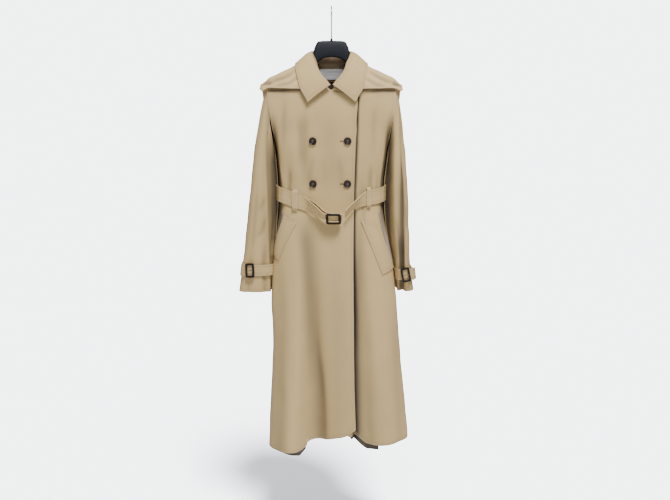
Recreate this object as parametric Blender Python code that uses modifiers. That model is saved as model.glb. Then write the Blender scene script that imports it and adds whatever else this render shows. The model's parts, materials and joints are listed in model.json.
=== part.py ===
"""Trench coat on a hanger: double breasted, belted, with a shoulder cape.

Metres, +Z up. The front of the coat faces -Y and the wearer's right is -X. The origin is the
underside of the hanger's hook, where it lies on a rail.
"""

from collections import namedtuple
from functools import cache
from math import acos, atan2, cos, exp, pi, sin, sqrt

import bmesh
import bpy
from mathutils import Matrix, Vector

# ---------------------------------------------------------------- driving sizes
WALL = 0.0016            # cloth with its facing
GAP = 0.0003             # between pieces that meet
ON_CLOTH = 0.0010        # between a panel and what lies on it

TIP_X = 0.195            # shoulder tip from the centre line
NECK_X = 0.062           # neck point from the centre line
NECK_Z = -0.150          # neck point height
TIP_Z = -0.219           # shoulder tip height
ARMHOLE = 0.210          # armhole height
ARMHOLE_HALF = 0.044     # half the armhole's width, front to back
RIDGE = ARMHOLE / 2      # height over which the shoulder rounds over to full depth
FRONT_NECK_Z = -0.240    # bottom of the front neckline
BACK_NECK_DROP = 0.018
HEM_Z = -1.345
TOP_TURN = 0.20          # share of a panel's rows that turn over the shoulder
SQUARE = 0.62            # exponent of the body's section: 1 is an ellipse, less is squarer
BACK_LIT = 0.6           # how far the back's lit edge goes out towards the side seam
ARMHOLE_OPEN = 0.55      # share of the armhole's height at which the section starts to change

Level = namedtuple("Level", "name z side_right lit_right side_left lit_left front back")
LEVELS = [               # half widths at the side seam and at the front's lit edge, and depths
    Level("tip", TIP_Z, 0.195, 0.195, 0.195, 0.195, 0.052, 0.048),
    Level("chest", -0.330, 0.184, 0.184, 0.185, 0.185, 0.060, 0.054),
    Level("underarm", TIP_Z - ARMHOLE, 0.175, 0.170, 0.175, 0.170, 0.060, 0.054),
    Level("rib", -0.485, 0.170, 0.160, 0.169, 0.160, 0.056, 0.052),
    Level("waist", -0.550, 0.167, 0.152, 0.164, 0.149, 0.050, 0.046),
    Level("belt", -0.605, 0.168, 0.156, 0.165, 0.157, 0.056, 0.052),
    Level("hip", -0.700, 0.176, 0.169, 0.178, 0.177, 0.070, 0.064),
    Level("seat", -0.800, 0.181, 0.178, 0.194, 0.196, 0.080, 0.072),
    Level("thigh", -0.950, 0.185, 0.184, 0.209, 0.210, 0.092, 0.082),
    Level("knee", -1.100, 0.189, 0.188, 0.222, 0.222, 0.104, 0.092),
    Level("calf", -1.230, 0.197, 0.195, 0.236, 0.236, 0.115, 0.102),
    Level("hem", HEM_Z, 0.203, 0.201, 0.247, 0.247, 0.124, 0.110),
]

Crease = namedtuple("Crease", "z x width depth")   # a positive depth goes into the coat
FRONT_FOLDS = {
    "right bulge": [
        Crease(-0.56, -0.118, 0.046, 0.000), Crease(-0.80, -0.122, 0.046, -0.010),
        Crease(-1.10, -0.130, 0.044, -0.028), Crease(HEM_Z, -0.138, 0.042, -0.046)],
    "right of centre valley": [
        Crease(-0.58, -0.074, 0.018, 0.000), Crease(-0.65, -0.070, 0.018, 0.007),
        Crease(-0.78, -0.057, 0.022, 0.011), Crease(-1.03, -0.052, 0.030, 0.021),
        Crease(HEM_Z, -0.048, 0.040, 0.034)],
    "beside the overlap": [
        Crease(-0.42, 0.084, 0.014, 0.000), Crease(-0.60, 0.083, 0.014, 0.003),
        Crease(-0.90, 0.085, 0.018, 0.010), Crease(HEM_Z, 0.094, 0.024, 0.024)],
    "left bulge": [
        Crease(-0.62, 0.140, 0.036, 0.000), Crease(-0.90, 0.155, 0.042, -0.012),
        Crease(HEM_Z, 0.176, 0.048, -0.026)],
    "right chest drape": [
        Crease(-0.27, -0.080, 0.022, 0.000), Crease(-0.40, -0.083, 0.022, 0.004),
        Crease(-0.53, -0.086, 0.020, 0.005), Crease(-0.60, -0.088, 0.020, 0.000)],
    "right waist tuck": [
        Crease(-0.45, -0.128, 0.013, 0.000), Crease(-0.54, -0.132, 0.013, 0.005),
        Crease(-0.64, -0.136, 0.013, 0.000)],
    "left chest drape": [
        Crease(-0.28, 0.122, 0.024, 0.000), Crease(-0.42, 0.116, 0.024, 0.003),
        Crease(-0.54, 0.108, 0.020, 0.005), Crease(-0.63, 0.104, 0.020, 0.000)],
}
BACK_FOLDS = {
    "centre back valley": [
        Crease(-0.40, 0.000, 0.024, 0.000), Crease(-0.55, 0.000, 0.022, 0.005),
        Crease(-0.90, 0.004, 0.036, 0.014), Crease(HEM_Z, 0.010, 0.050, 0.030)],
    "back right ridge": [
        Crease(-0.60, -0.080, 0.040, 0.000), Crease(-1.00, -0.090, 0.046, -0.014),
        Crease(HEM_Z, -0.105, 0.050, -0.028)],
    "back left ridge": [
        Crease(-0.60, 0.084, 0.042, 0.000), Crease(-1.00, 0.098, 0.048, -0.012),
        Crease(HEM_Z, 0.120, 0.052, -0.026)],
    "back right tuck": [
        Crease(-0.46, -0.060, 0.014, 0.000), Crease(-0.55, -0.058, 0.014, 0.005),
        Crease(-0.68, -0.062, 0.014, 0.000)],
    "back left tuck": [
        Crease(-0.47, 0.066, 0.014, 0.000), Crease(-0.55, 0.062, 0.014, 0.005),
        Crease(-0.70, 0.068, 0.014, 0.000)],
}

Edge = namedtuple("Edge", "z x")
OVERLAP_EDGE = [         # free edge of the right front, which lies over the left one
    Edge(-0.24, 0.075), Edge(-0.39, 0.072), Edge(-0.54, 0.068), Edge(-0.70, 0.066),
    Edge(-1.08, 0.068), Edge(HEM_Z, 0.074)]
UNDERLAP_X = -0.078      # free edge of the left front, under the right one
UNDERLAP = 2 * GAP + WALL
UNDERLAP_TOP = 0.0014    # more of it at the chest, where the rows of the two fronts part
UNDERLAP_CHEST = (-0.56, -0.44)      # heights over which that more comes in
UNDERLAP_END = (-0.235, -0.205)      # heights between which it ends, above the overlap's top
UNDERLAP_RISE = (1.0, 0.55, 0.12)    # share of it on the overlap's column and the next ones

Hem = namedtuple("Hem", "x z")
FRONT_HEM = [            # the corner of the overlap hangs higher than the left front beside it
    Hem(-0.203, -1.366), Hem(-0.185, -1.361), Hem(-0.160, -1.352), Hem(-0.137, -1.347),
    Hem(-0.099, -1.347), Hem(-0.082, -1.343), Hem(-0.066, -1.326), Hem(-0.030, -1.323), Hem(0.010, -1.311),
    Hem(0.050, -1.302), Hem(0.073, -1.288), Hem(0.105, -1.327), Hem(0.150, -1.331),
    Hem(0.200, -1.332), Hem(0.247, -1.338)]
UNDERLAP_HEM_DROP = 0.014
BACK_HEM_Z = (-1.366, -1.348)        # at the right side and at the left one

FRONT_COLUMNS = (10, 9, 9)      # side to underlap edge, underlap to overlap edge, on to the side
BACK_COLUMNS = 22
TURN_ROWS, ARMHOLE_ROWS, SKIRT_ROWS = 7, 4, 15
ROW_SPREAD = 1.30        # more than 1 puts the rows closer together at the waist
FRONT_NECK_COLUMN = {-1: 11, 1: 19}     # columns that start at the neck points
BACK_NECK_COLUMN = 3     # the back's, counted from its middle
SIDE_CROWD = 0.35        # how much closer the back's columns are towards its sides
NECK_COLUMN_ROWS = 0.26  # share of the rows over which the fronts' go over to their own places
NECK_ROWS = 0.40         # share of the rows that make room for the neckline
NECK_U = NECK_X / TIP_X

# ---------------------------------------------------------------- sleeves
Ring = namedtuple("Ring", "z outer inner depth y")
RIGHT_SLEEVE = [         # outer and inner half widths from the centre line, and half depth
    Ring(-0.470, 0.241, 0.183, 0.058, 0.004), Ring(-0.545, 0.250, 0.182, 0.062, 0.006),
    Ring(-0.650, 0.263, 0.182, 0.056, 0.006), Ring(-0.750, 0.275, 0.181, 0.044, 0.000),
    Ring(-0.862, 0.290, 0.180, 0.034, -0.006)]
LEFT_SLEEVE = [
    Ring(-0.470, 0.229, 0.180, 0.062, 0.006), Ring(-0.545, 0.235, 0.178, 0.068, 0.010),
    Ring(-0.650, 0.240, 0.183, 0.068, 0.014), Ring(-0.765, 0.246, 0.196, 0.064, 0.016),
    Ring(-0.860, 0.258, 0.200, 0.052, 0.012)]
INNER_TUCK = 0.016       # how far a sleeve's back hangs in behind the body's side
TUCK_DEPTH = (-0.040, 0.030)         # from front to back, over which it does
TUCK_END = (-0.820, -0.700)          # heights over which it ends above the cuff
SLEEVE_FOLDS = {
    -1: [Crease(-0.48, -0.205, 0.012, 0.003), Crease(-0.62, -0.212, 0.012, 0.005),
         Crease(-0.74, -0.206, 0.010, 0.004), Crease(-0.862, -0.196, 0.010, 0.005)],
    1: [Crease(-0.48, 0.203, 0.010, 0.005), Crease(-0.62, 0.209, 0.010, 0.006),
        Crease(-0.765, 0.214, 0.010, 0.006), Crease(-0.860, 0.216, 0.011, 0.008)],
}
SLEEVE_SQUARE = 0.68     # exponent of a sleeve's section: less is squarer
SLEEVES = {-1: RIGHT_SLEEVE, 1: LEFT_SLEEVE}
CAP_RINGS, ARM_RINGS = 5, 11
CAP_BULGE = 0.006
SLEEVE_CLEAR = 0.0062    # from the body's side

# ---------------------------------------------------------------- cape and collar
CapeLine = namedtuple("CapeLine", "name side neck_x neck_z edge_x edge_z lift")
CAPE = [                 # from the front end over the shoulder tip to the centre back
    CapeLine("front end", -1, 0.074, -0.185, 0.080, -0.243, 0.0055),
    CapeLine("front middle", -1, 0.073, -0.172, 0.135, -0.242, 0.0075),
    CapeLine("front corner", -1, 0.072, -0.164, 0.206, -0.243, 0.0080),
    CapeLine("tip front", -1, 0.071, -0.159, 0.212, -0.232, 0.0065),
    CapeLine("tip", 0, 0.070, 0, 0.213, 0, 0.0060),
    CapeLine("tip back", 1, 0.066, -0.160, 0.212, -0.236, 0.0065),
    CapeLine("side back", 1, 0.058, -0.166, 0.208, -0.310, 0.0160),
    CapeLine("back corner", 1, 0.046, -0.172, 0.192, -0.400, 0.0170),
    CapeLine("back middle", 1, 0.026, -0.176, 0.100, -0.425, 0.0060),
    CapeLine("centre back", 1, 0.000, -0.178, 0.000, -0.430, 0.0040),
]
CAPE_ON = 0.0020
CAPE_STEPS, CAPE_ROWS = 2, 8

CollarLine = namedtuple("CollarLine", "name angle roll_x roll_y roll_z edge_x edge lift crown")
COLLAR = [               # by angle round the neck from the front: the roll line, and the outer
                         # edge as a length over the shoulder, in front if positive, moved out
    CollarLine("centre front", 0, 0.003, -0.064, -0.2295, 0.070, 0.186, 0.0128, 0.004),
    CollarLine("front", 18, 0.018, -0.060, -0.214, 0.080, 0.163, 0.0128, 0.005),
    CollarLine("front side", 38, 0.036, -0.050, -0.190, 0.091, 0.139, 0.0128, 0.007),
    CollarLine("side front", 60, 0.048, -0.030, -0.158, 0.100, 0.092, 0.0128, 0.005),
    CollarLine("side", 90, 0.0535, 0.002, -0.1275, 0.106, 0.030, 0.010, 0.005),
    CollarLine("side back", 120, 0.046, 0.026, -0.126, 0.098, -0.060, 0.010, 0.005),
    CollarLine("back", 150, 0.026, 0.038, -0.127, 0.056, -0.100, 0.010, 0.006),
    CollarLine("centre back", 180, 0.000, 0.042, -0.128, 0.000, -0.110, 0.010, 0.006),
]
STAND_FOOT = 0.0008      # the stand's foot above the panels' top edges
COLLAR_COLUMNS, COLLAR_ROWS, STAND_ROWS = 15, 5, 3
COLLAR_TURN = 0.28       # share of the fall at which it turns over

# ---------------------------------------------------------------- belt
BeltPoint = namedtuple("BeltPoint", "name side x low high lean stand")
BELT = [                 # heights of its edges; lean moves the top edge out, stand the whole belt
    BeltPoint("buckle left", -1, 0.030, -0.640, -0.613, 0.030, 0.012),
    BeltPoint("buckle right", -1, -0.020, -0.636, -0.611, 0.030, 0.012),
    BeltPoint("sag", -1, -0.042, -0.620, -0.592, 0.026, 0.008),
    BeltPoint("sag end", -1, -0.062, -0.612, -0.577, 0.019, 0.004),
    BeltPoint("before the right loop", -1, -0.081, -0.605, -0.563, 0.008, 0.002),
    BeltPoint("right loop", -1, -0.110, -0.597, -0.552, 0.003, 0.001),
    BeltPoint("right front", -1, -0.136, -0.588, -0.543, 0.001, 0.001),
    BeltPoint("right side", 0, -1.000, -0.577, -0.532, 0.000, 0.001),
    BeltPoint("back right", 1, -0.130, -0.573, -0.528, 0.000, 0.001),
    BeltPoint("back right tuck", 1, -0.060, -0.573, -0.528, 0.000, 0.0035),
    BeltPoint("centre back", 1, 0.000, -0.573, -0.528, 0.000, 0.001),
    BeltPoint("back left tuck", 1, 0.066, -0.573, -0.528, 0.000, 0.0035),
    BeltPoint("back left", 1, 0.130, -0.573, -0.528, 0.000, 0.001),
    BeltPoint("left side", 0, 1.000, -0.577, -0.532, 0.000, 0.002),
    BeltPoint("left front", -1, 0.134, -0.586, -0.541, 0.002, 0.001),
    BeltPoint("left loop", -1, 0.112, -0.589, -0.545, 0.003, 0.001),
    BeltPoint("after the left loop", -1, 0.085, -0.594, -0.560, 0.014, 0.002),
    BeltPoint("rise", -1, 0.062, -0.603, -0.578, 0.024, 0.006),
    BeltPoint("behind the buckle", -1, 0.040, -0.628, -0.602, 0.028, 0.008),
]
BELT_STEPS, BELT_ROWS = 3, 2
Station = namedtuple("Station", "k w low high lean stand")
BELT_END = [             # free end, through the buckle and behind the belt on the wearer's right
    BeltPoint("end root", -1, 0.028, -0.638, -0.612, 0.030, 0.0090),
    BeltPoint("end under the buckle", -1, -0.012, -0.634, -0.608, 0.029, 0.0090),
    BeltPoint("end", -1, -0.046, -0.612, -0.582, 0.018, 0.003),
    BeltPoint("end tip", -1, -0.066, -0.604, -0.570, 0.012, 0.001),
]

# ---------------------------------------------------------------- small pieces
BUTTON_D, BUTTON_T, BUTTON_ON = 0.0235, 0.0042, 0.0006
BUTTON_X = (-0.0565, 0.0475)
BUTTON_Z = (-0.396, -0.5245)
BUCKLE_W, BUCKLE_H, BUCKLE_BAR, BUCKLE_T = 0.046, 0.050, 0.008, 0.0045
CUFF_BUCKLE_W, CUFF_BUCKLE_H, CUFF_BAR, CUFF_T = 0.028, 0.045, 0.0060, 0.0036
CUFF_STRAP, CUFF_STEPS, STRAP_ON = 0.034, 32, 0.0016
Cuff = namedtuple("Cuff", "z angle tip tip_lift keeper tilt buckle_on")
CUFFS = {                # angles round the sleeve: buckle, tip's length, keeper
    "right": Cuff(-0.792, 1.40, 0.95, 0.001, 0.70, 0.03, 0.0003),
    "left": Cuff(-0.806, 1.62, 1.25, 0.008, 0.66, 0.20, 0.0008),
}
KEEPER_W = 0.16          # angle round the sleeve
KEEPER_ROWS = ((0.60, 0.0024), (0.55, 0.0), (0.0, 0.0), (-0.55, 0.0), (-0.60, 0.0024))   # share, dip

LINING = 0.0010
LINING_OUT = ON_CLOTH + LINING
LINING_IN = WALL + LINING + 0.0030
NECK_LINING_X = 0.042
NECK_LINING_Z = (-0.134, -0.145, -0.156, -0.166, -0.176, -0.188, -0.202, -0.216)
LABEL_W, LABEL_H, LABEL_T, LABEL_X, LABEL_Z = 0.074, 0.033, 0.0008, 0.0015, -0.176
HEM_LINING_TOP = 0.35    # its top edge, between the last two rows of the panel that it is inside
Peek = namedtuple("Peek", "x drop")
HEM_LININGS = {          # how far each shows below the front that it is inside
    -1: ("hem_lining_right", [Peek(-0.156, 0.001), Peek(-0.125, 0.007), Peek(-0.098, 0.016),
                              Peek(-0.074, 0.006)]),
    1: ("hem_lining_left", [Peek(0.040, 0.008), Peek(0.090, 0.012), Peek(0.162, 0.003)])}
WELT_OUT = (LINING_OUT + GAP + WALL + 0.0008, ON_CLOTH + WALL)   # at its free edge, and its sewn one
WELTS = {                # corners (column, height): top outer and inner, bottom outer and inner
    "right": ((-0.70, -0.622), (-0.46, -0.643), (-0.940, -0.745), (-0.74, -0.760)),
    "left": ((0.37, -0.636), (0.64, -0.655), (0.58, -0.802), (0.87, -0.785)),
}
POCKET_LININGS = {
    "right": ((-0.86, -0.612), (-0.74, -0.616), (-0.97, -0.730), (-0.86, -0.736)),
    "left": ((0.70, -0.615), (0.80, -0.612), (0.80, -0.775), (0.93, -0.768)),
}
BELT_WALL, BELT_ON = 0.0024, 0.0014
LOOP_W, LOOP_ON = 0.013, 0.0014
LOOPS = (                # name, x, its ends' heights, and how far it stands out over the belt
    ("belt_loop_right", -0.110, -0.607, -0.542, 0.0078),
    ("belt_loop_left", 0.112, -0.599, -0.535, 0.0092))

Hanger = namedtuple("Hanger", "x top bottom depth")
ARM_UNDER = WALL + 2 * GAP           # the arm's top below the shoulder line
ARM_HEIGHT = 0.027
HANGER = [               # head, up to where the arms go under the shoulders
    Hanger(0.000, -0.0985, -0.147, 0.0070), Hanger(0.014, -0.0985, -0.1475, 0.0070),
    Hanger(0.028, -0.0990, -0.152, 0.0070), Hanger(0.036, -0.1005, -0.158, 0.0075),
    Hanger(0.042, -0.1090, -0.163, 0.0075), Hanger(0.0465, -0.1240, -0.168, 0.0068),
    Hanger(0.050, -0.1420, -0.173, 0.0058), Hanger(0.056, -0.1550, -0.178, 0.0052)]
ARM_STATIONS = ((0.066, 0.0056), (0.080, 0.0085), (0.100, 0.013), (0.130, 0.0145), (0.160, 0.015),
                (0.178, 0.0145), (0.187, 0.0125), (0.1915, 0.008))
HANGER_SIDES = 10
HOOK_R, WIRE_R = 0.021, 0.0019
FERRULE_Z = -0.0915

COLOURS = {              # base colour, roughness, metallic
    "gabardine": ((0.50, 0.40, 0.27, 1), 0.85, 0.0),
    "lining": ((0.09, 0.065, 0.045, 1), 0.60, 0.0),
    "pocketing": ((0.36, 0.31, 0.26, 1), 0.85, 0.0),
    "label": ((0.72, 0.72, 0.76, 1), 0.60, 0.0),
    "button": ((0.035, 0.018, 0.020, 1), 0.22, 0.0),
    "leather": ((0.020, 0.012, 0.010, 1), 0.38, 0.0),
    "hanger": ((0.016, 0.019, 0.030, 1), 0.55, 0.0),
    "chrome": ((0.75, 0.75, 0.76, 1), 0.18, 1.0),
}


# ---------------------------------------------------------------- interpolation
def hermite(rows, at, column, key="z"):
    """Smooth curve through one column of a table, whose key column rises or falls throughout."""
    keys = [getattr(row, key) for row in rows]
    values = [getattr(row, column) for row in rows]
    if keys[0] > keys[-1]:
        keys, values = keys[::-1], values[::-1]
    if at <= keys[0]:
        return values[0]
    if at >= keys[-1]:
        return values[-1]
    k = max(i for i in range(len(keys) - 1) if keys[i] <= at)
    step = keys[k + 1] - keys[k]

    def slope(i):
        if i == 0 or i == len(keys) - 1:
            j = 0 if i == 0 else len(keys) - 2
            return (values[j + 1] - values[j]) / (keys[j + 1] - keys[j])
        before = (values[i] - values[i - 1]) / (keys[i] - keys[i - 1])
        after = (values[i + 1] - values[i]) / (keys[i + 1] - keys[i])
        return 0.0 if before * after <= 0 else 2 * before * after / (before + after)

    t = (at - keys[k]) / step
    return ((2 * t**3 - 3 * t**2 + 1) * values[k] + (t**3 - 2 * t**2 + t) * step * slope(k)
            + (3 * t**2 - 2 * t**3) * values[k + 1] + (t**3 - t**2) * step * slope(k + 1))


def smooth(value, start, end):
    t = min(1.0, max(0.0, (value - start) / (end - start)))
    return t * t * (3 - 2 * t)


def mix(a, b, t):
    return a + (b - a) * t


# ---------------------------------------------------------------- the body's form
def ridge_z(x):
    """Height of the shoulder line."""
    return mix(NECK_Z, TIP_Z, (max(abs(x), NECK_X) - NECK_X) / (TIP_X - NECK_X))


@cache
def front_hem(u):
    """Height of the front's hem on column u."""
    return hermite(FRONT_HEM, body_at(u, HEM_Z, -1).x, "z", "x")


def body_height(u, v, side):
    """Height of row v on column u: the rows turn over the shoulder, then run to the hem."""
    top = ridge_z(TIP_X * u)
    if v <= TOP_TURN:
        return top - RIDGE * (1 - cos(pi / 2 * v / TOP_TURN))
    hem = front_hem(u) if side < 0 else mix(*BACK_HEM_Z, (u + 1) / 2)
    return mix(top - RIDGE, hem, (v - TOP_TURN) / (1 - TOP_TURN))


def half_widths(u, z):
    """Half widths at height z, on column u's hand: at the side seam and at the front's lit edge."""
    hand = "right" if u < 0 else "left"
    side = hermite(LEVELS, z, "side_" + hand)
    return side, hermite(LEVELS, z, "lit_" + hand)


def fold_depth(folds, x, z):
    depth = 0.0
    z = max(z, HEM_Z)
    for rows in folds.values():
        if rows[-1].z <= z <= rows[0].z:
            width = hermite(rows, z, "width")
            depth += hermite(rows, z, "depth") * exp(-((x - hermite(rows, z, "x")) / width) ** 2)
    return depth


def body_at(u, z, side, hanging=False):
    """Point of the body's outer form on column u, -1 to 1 from the wearer's right, at height z.

    The hanging form has no armhole: it falls straight from the shoulder, as the cape does."""
    seam, lit = half_widths(u, z)
    if side > 0:
        lit = mix(lit, seam, BACK_LIT)
    inward = 1 - abs(u)
    open_share = 1.0 if hanging else smooth(z, TIP_Z - ARMHOLE, TIP_Z - ARMHOLE * ARMHOLE_OPEN)
    turn = pi / 2 * max(inward, 0.0)
    across = mix(cos(turn), 1 - inward, open_share)
    x = lit * across + (seam - lit) * (1 - sin(turn)) ** 2
    x = x if u > 0 else -x
    rise = max(0.0, sin(turn)) ** mix(SQUARE, 1.0, open_share)
    middle = TIP_Z - RIDGE
    low = min(1.0, max(0.0, (middle - z) / RIDGE))
    edge = ARMHOLE_HALF if hanging else ARMHOLE_HALF * (1 - low**1.6)
    depth = mix(edge, hermite(LEVELS, z, "front" if side < 0 else "back"), rise)
    below = min(1.0, max(0.0, (ridge_z(TIP_X * u) - z) / RIDGE))
    depth *= sqrt(1 - (1 - below) ** 2)
    folds = FRONT_FOLDS if side < 0 else BACK_FOLDS
    depth -= fold_depth(folds, x, z) * min(1.0, sin(turn) * 1.6)
    return Vector((x, side * (depth + GAP / 2), z))


def body(u, v, side):
    return body_at(u, body_height(u, v, side), side)


def column_at(x, z, side):
    """Column on which the body's form has this x at height z."""
    low, high = -1.25, 1.25
    for _ in range(30):
        middle = (low + high) / 2
        if body_at(middle, z, side).x < x:
            low = middle
        else:
            high = middle
    return (low + high) / 2


def row_at(u, z, side):
    low, high = 0.0, 1.0
    for _ in range(30):
        middle = (low + high) / 2
        if body_height(u, middle, side) > z:
            low = middle
        else:
            high = middle
    return (low + high) / 2


def across_normal(surface, a, b, step=0.002):
    """Outward normal of a surface whose a runs from -X to +X in front and b runs down."""
    along = surface(a + step, b) - surface(a - step, b)
    down = surface(a, b + step) - surface(a, max(0.0, b - step))
    normal = down.cross(along)
    return normal.normalized()


def body_normal(u, v, side):
    inner = min(max(u, -0.999), 0.999) if v > TOP_TURN else u
    normal = across_normal(lambda a, b: body(a, b, side), inner, v)
    return normal if side < 0 else -normal


def on_body(x, z, side, out):
    """Point on the body at x and z, moved out along its normal, and that normal."""
    u = column_at(x, z, side)
    v = row_at(u, z, side)
    normal = body_normal(u, v, side)
    return body(u, v, side) + normal * out, normal


# ---------------------------------------------------------------- making objects
def collection(name):
    made = bpy.data.collections.new(name)
    bpy.context.scene.collection.children.link(made)
    return made


def material(name):
    colour, roughness, metallic = COLOURS[name]
    made = bpy.data.materials.new(name)
    made.use_nodes = True
    shader = made.node_tree.nodes["Principled BSDF"]
    shader.inputs["Base Color"].default_value = colour
    shader.inputs["Roughness"].default_value = roughness
    shader.inputs["Metallic"].default_value = metallic
    made.diffuse_color = colour
    return made


def add(name, mesh, finish):
    made = bpy.data.objects.new(name, mesh)
    COAT.objects.link(made)
    made.data.materials.append(MATERIALS[finish])
    return made


def cloth(name, outer, inner, finish="gabardine", tube=False):
    """Closed wall between two grids of points, outer and inner, of the same rows and columns.

    With tube the columns close to a tube, which stays open at its two ends."""
    rows, columns = len(outer), len(outer[0])
    mesh = bmesh.new()
    faces = []
    grids = [[[mesh.verts.new(point) for point in row] for row in grid] for grid in (outer, inner)]
    last = columns if tube else columns - 1
    for grid, turned in zip(grids, (False, True)):
        for i in range(rows - 1):
            for j in range(last):
                k = (j + 1) % columns
                a, b, c, d = grid[i][j], grid[i + 1][j], grid[i + 1][k], grid[i][k]
                for corners in ((a, b, c), (a, c, d)):
                    faces.append(corners[::-1] if turned else corners)

    def rim(pairs):
        for (a, p), (b, q) in zip(pairs, pairs[1:]):
            faces.append((a, b, q))
            faces.append((a, q, p))

    top = [(grids[0][0][j % columns], grids[1][0][j % columns]) for j in range(last + 1)]
    bottom = [(grids[0][-1][j % columns], grids[1][-1][j % columns]) for j in range(last + 1)]
    rim(top)
    rim(bottom[::-1])
    if not tube:
        rim([(grids[0][i][0], grids[1][i][0]) for i in range(rows)][::-1])
        rim([(grids[0][i][-1], grids[1][i][-1]) for i in range(rows)])
    for corners in faces:
        mesh.faces.new(corners)
    bmesh.ops.recalc_face_normals(mesh, faces=mesh.faces)
    data = bpy.data.meshes.new(name)
    mesh.to_mesh(data)
    mesh.free()
    data.shade_smooth()
    return add(name, data, finish)


def without(normal, *axes):
    """The normal with these components taken out, so that pieces meet edge to edge at a seam."""
    kept = Vector(0.0 if k in axes else part for k, part in enumerate(normal))
    return kept.normalized() if kept.length > 1e-6 else normal


# ---------------------------------------------------------------- body panels
def row_values():
    """Rows of a panel: over the shoulder, down the armhole, then down to the hem."""
    underarm = row_at(1.0, TIP_Z - ARMHOLE, 1)
    rows = [TOP_TURN * i / TURN_ROWS for i in range(TURN_ROWS)]
    rows += [mix(TOP_TURN, underarm, i / ARMHOLE_ROWS) for i in range(ARMHOLE_ROWS)]
    rows += [mix(underarm, 1.0, (i / SKIRT_ROWS) ** ROW_SPREAD) for i in range(SKIRT_ROWS + 1)]
    return rows, TURN_ROWS + ARMHOLE_ROWS


def neckline(u, side, own):
    """First row of column u: the neckline inside the neck points, and the shoulder line outside."""
    x = abs(TIP_X * u)
    if side > 0:
        drop = BACK_NECK_DROP * sqrt(max(0.0, 1 - (x / NECK_X) ** 2))
    elif own:
        drop = (NECK_Z - FRONT_NECK_Z) * max(0.0, 1 - (x / NECK_X) ** 2) ** 0.75
    else:
        drop = NECK_Z - FRONT_NECK_Z + 0.010 + 0.12 * x
    return TOP_TURN * acos(max(0.0, 1 - drop / RIDGE)) / (pi / 2) if drop > 0 else 0.0


def shifted(v, start):
    """Row v moved down near the top, so that the first row lies on the neckline."""
    return v + start * max(0.0, 1 - v / NECK_ROWS) ** 2


def front_columns(v):
    """Columns of both fronts on row v: those between the two free edges are shared."""
    z = body_height(NECK_U, shifted(v, neckline(NECK_U, -1, False)), -1)
    over = column_at(hermite(OVERLAP_EDGE, z, "x"), z, -1)
    under = column_at(UNDERLAP_X, z, -1)
    stops = (-1.0, under, over, 1.0)
    columns = [-1.0]
    for start, end, count in zip(stops, stops[1:], FRONT_COLUMNS):
        columns += [mix(start, end, (k + 1) / count) for k in range(count)]
    for hand in (-1, 1):
        k = FRONT_NECK_COLUMN[hand]
        x = mix(hand * NECK_X, body_at(columns[k], z, -1).x, min(1.0, v / NECK_COLUMN_ROWS))
        columns[k] = column_at(x, z, -1) if v > 0 else hand * NECK_U
    return columns


def front_grids(hand):
    """Outer points and outward normals of one front. hand -1 is the wearer's right, over the left."""
    rows, underarm = row_values()
    overlap = sum(FRONT_COLUMNS[:2])
    side = sum(FRONT_COLUMNS)
    span = range(0, overlap + 1) if hand < 0 else range(FRONT_COLUMNS[0], side + 1)
    outer, normals = [], []
    for i, v in enumerate(rows):
        outer_row, normal_row = [], []
        for k in span:
            u = front_columns(v)[k]
            own = u * hand >= 0
            row = shifted(v, neckline(u, -1, own))
            axes = ()
            if k in (0, side):
                axes = (0,) if i < underarm else (1,)
            if i == 0 and own and abs(u) > NECK_U - 1e-6:
                axes += (1,)
            point = body(u, row, -1)
            normal = without(body_normal(u, row, -1), *axes)
            if hand > 0:
                beyond = max(0, k - overlap)
                share = UNDERLAP_RISE[beyond] if beyond < len(UNDERLAP_RISE) else 0.0
                if own:
                    share *= 1 - smooth(point.z, *UNDERLAP_END)
                below = UNDERLAP + UNDERLAP_TOP * smooth(point.z, *UNDERLAP_CHEST)
                point = point - normal * share * below
                point = point - Vector((0, 0, UNDERLAP_HEM_DROP * share * v**8))
            outer_row.append(point)
            normal_row.append(normal)
        outer.append(outer_row)
        normals.append(normal_row)
    return outer, normals


def front_panel(name, hand):
    outer, normals = front_grids(hand)
    cloth(name, outer, moved(outer, normals, -WALL))


def back_columns():
    """Columns of the back, closer together towards the sides."""
    evenly = [2 * k / BACK_COLUMNS - 1 for k in range(BACK_COLUMNS + 1)]
    columns = [mix(place, sin(pi / 2 * place), SIDE_CROWD) for place in evenly]
    for hand in (-1, 1):
        columns[BACK_COLUMNS // 2 + hand * BACK_NECK_COLUMN] = hand * NECK_U
    return columns


def back_panel():
    rows, underarm = row_values()
    outer, inner = [], []
    for i, v in enumerate(rows):
        outer_row, inner_row = [], []
        for k, u in enumerate(back_columns()):
            row = shifted(v, neckline(u, 1, True))
            axes = ()
            if k in (0, BACK_COLUMNS):
                axes = (0,) if i < underarm else (1,)
            if i == 0 and abs(u) > NECK_U - 1e-6 and 1 not in axes:
                axes = axes + (1,)
            point = body(u, row, 1)
            normal = without(body_normal(u, row, 1), *axes)
            outer_row.append(point)
            inner_row.append(point - normal * WALL)
        outer.append(outer_row[::-1])
        inner.append(inner_row[::-1])
    return cloth("back_panel", outer, inner)


# ---------------------------------------------------------------- sleeves
def side_limit(z, y, hand):
    """Half width of the body at this height and depth."""
    side = -1 if y < 0 else 1
    widest = 0.0
    for k in range(25):
        point = body_at(hand * (1 - 0.5 * k / 24), z, side)
        if abs(point.y) >= abs(y) - 0.004:
            widest = max(widest, abs(point.x))
    return widest


def armhole_loop(hand):
    """Points round the armhole from the shoulder tip down the front and up the back."""
    rows, underarm = row_values()
    front = [body(hand, v, -1) for v in rows[:underarm + 1]]
    back = [body(hand, v, 1) for v in rows[:underarm + 1]]
    loop = [(front[0] + back[0]) / 2] + front[1:-1] + [(front[-1] + back[-1]) / 2] + back[-2:0:-1]
    return [point + Vector((hand * GAP, 0, 0)) for point in loop]


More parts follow.
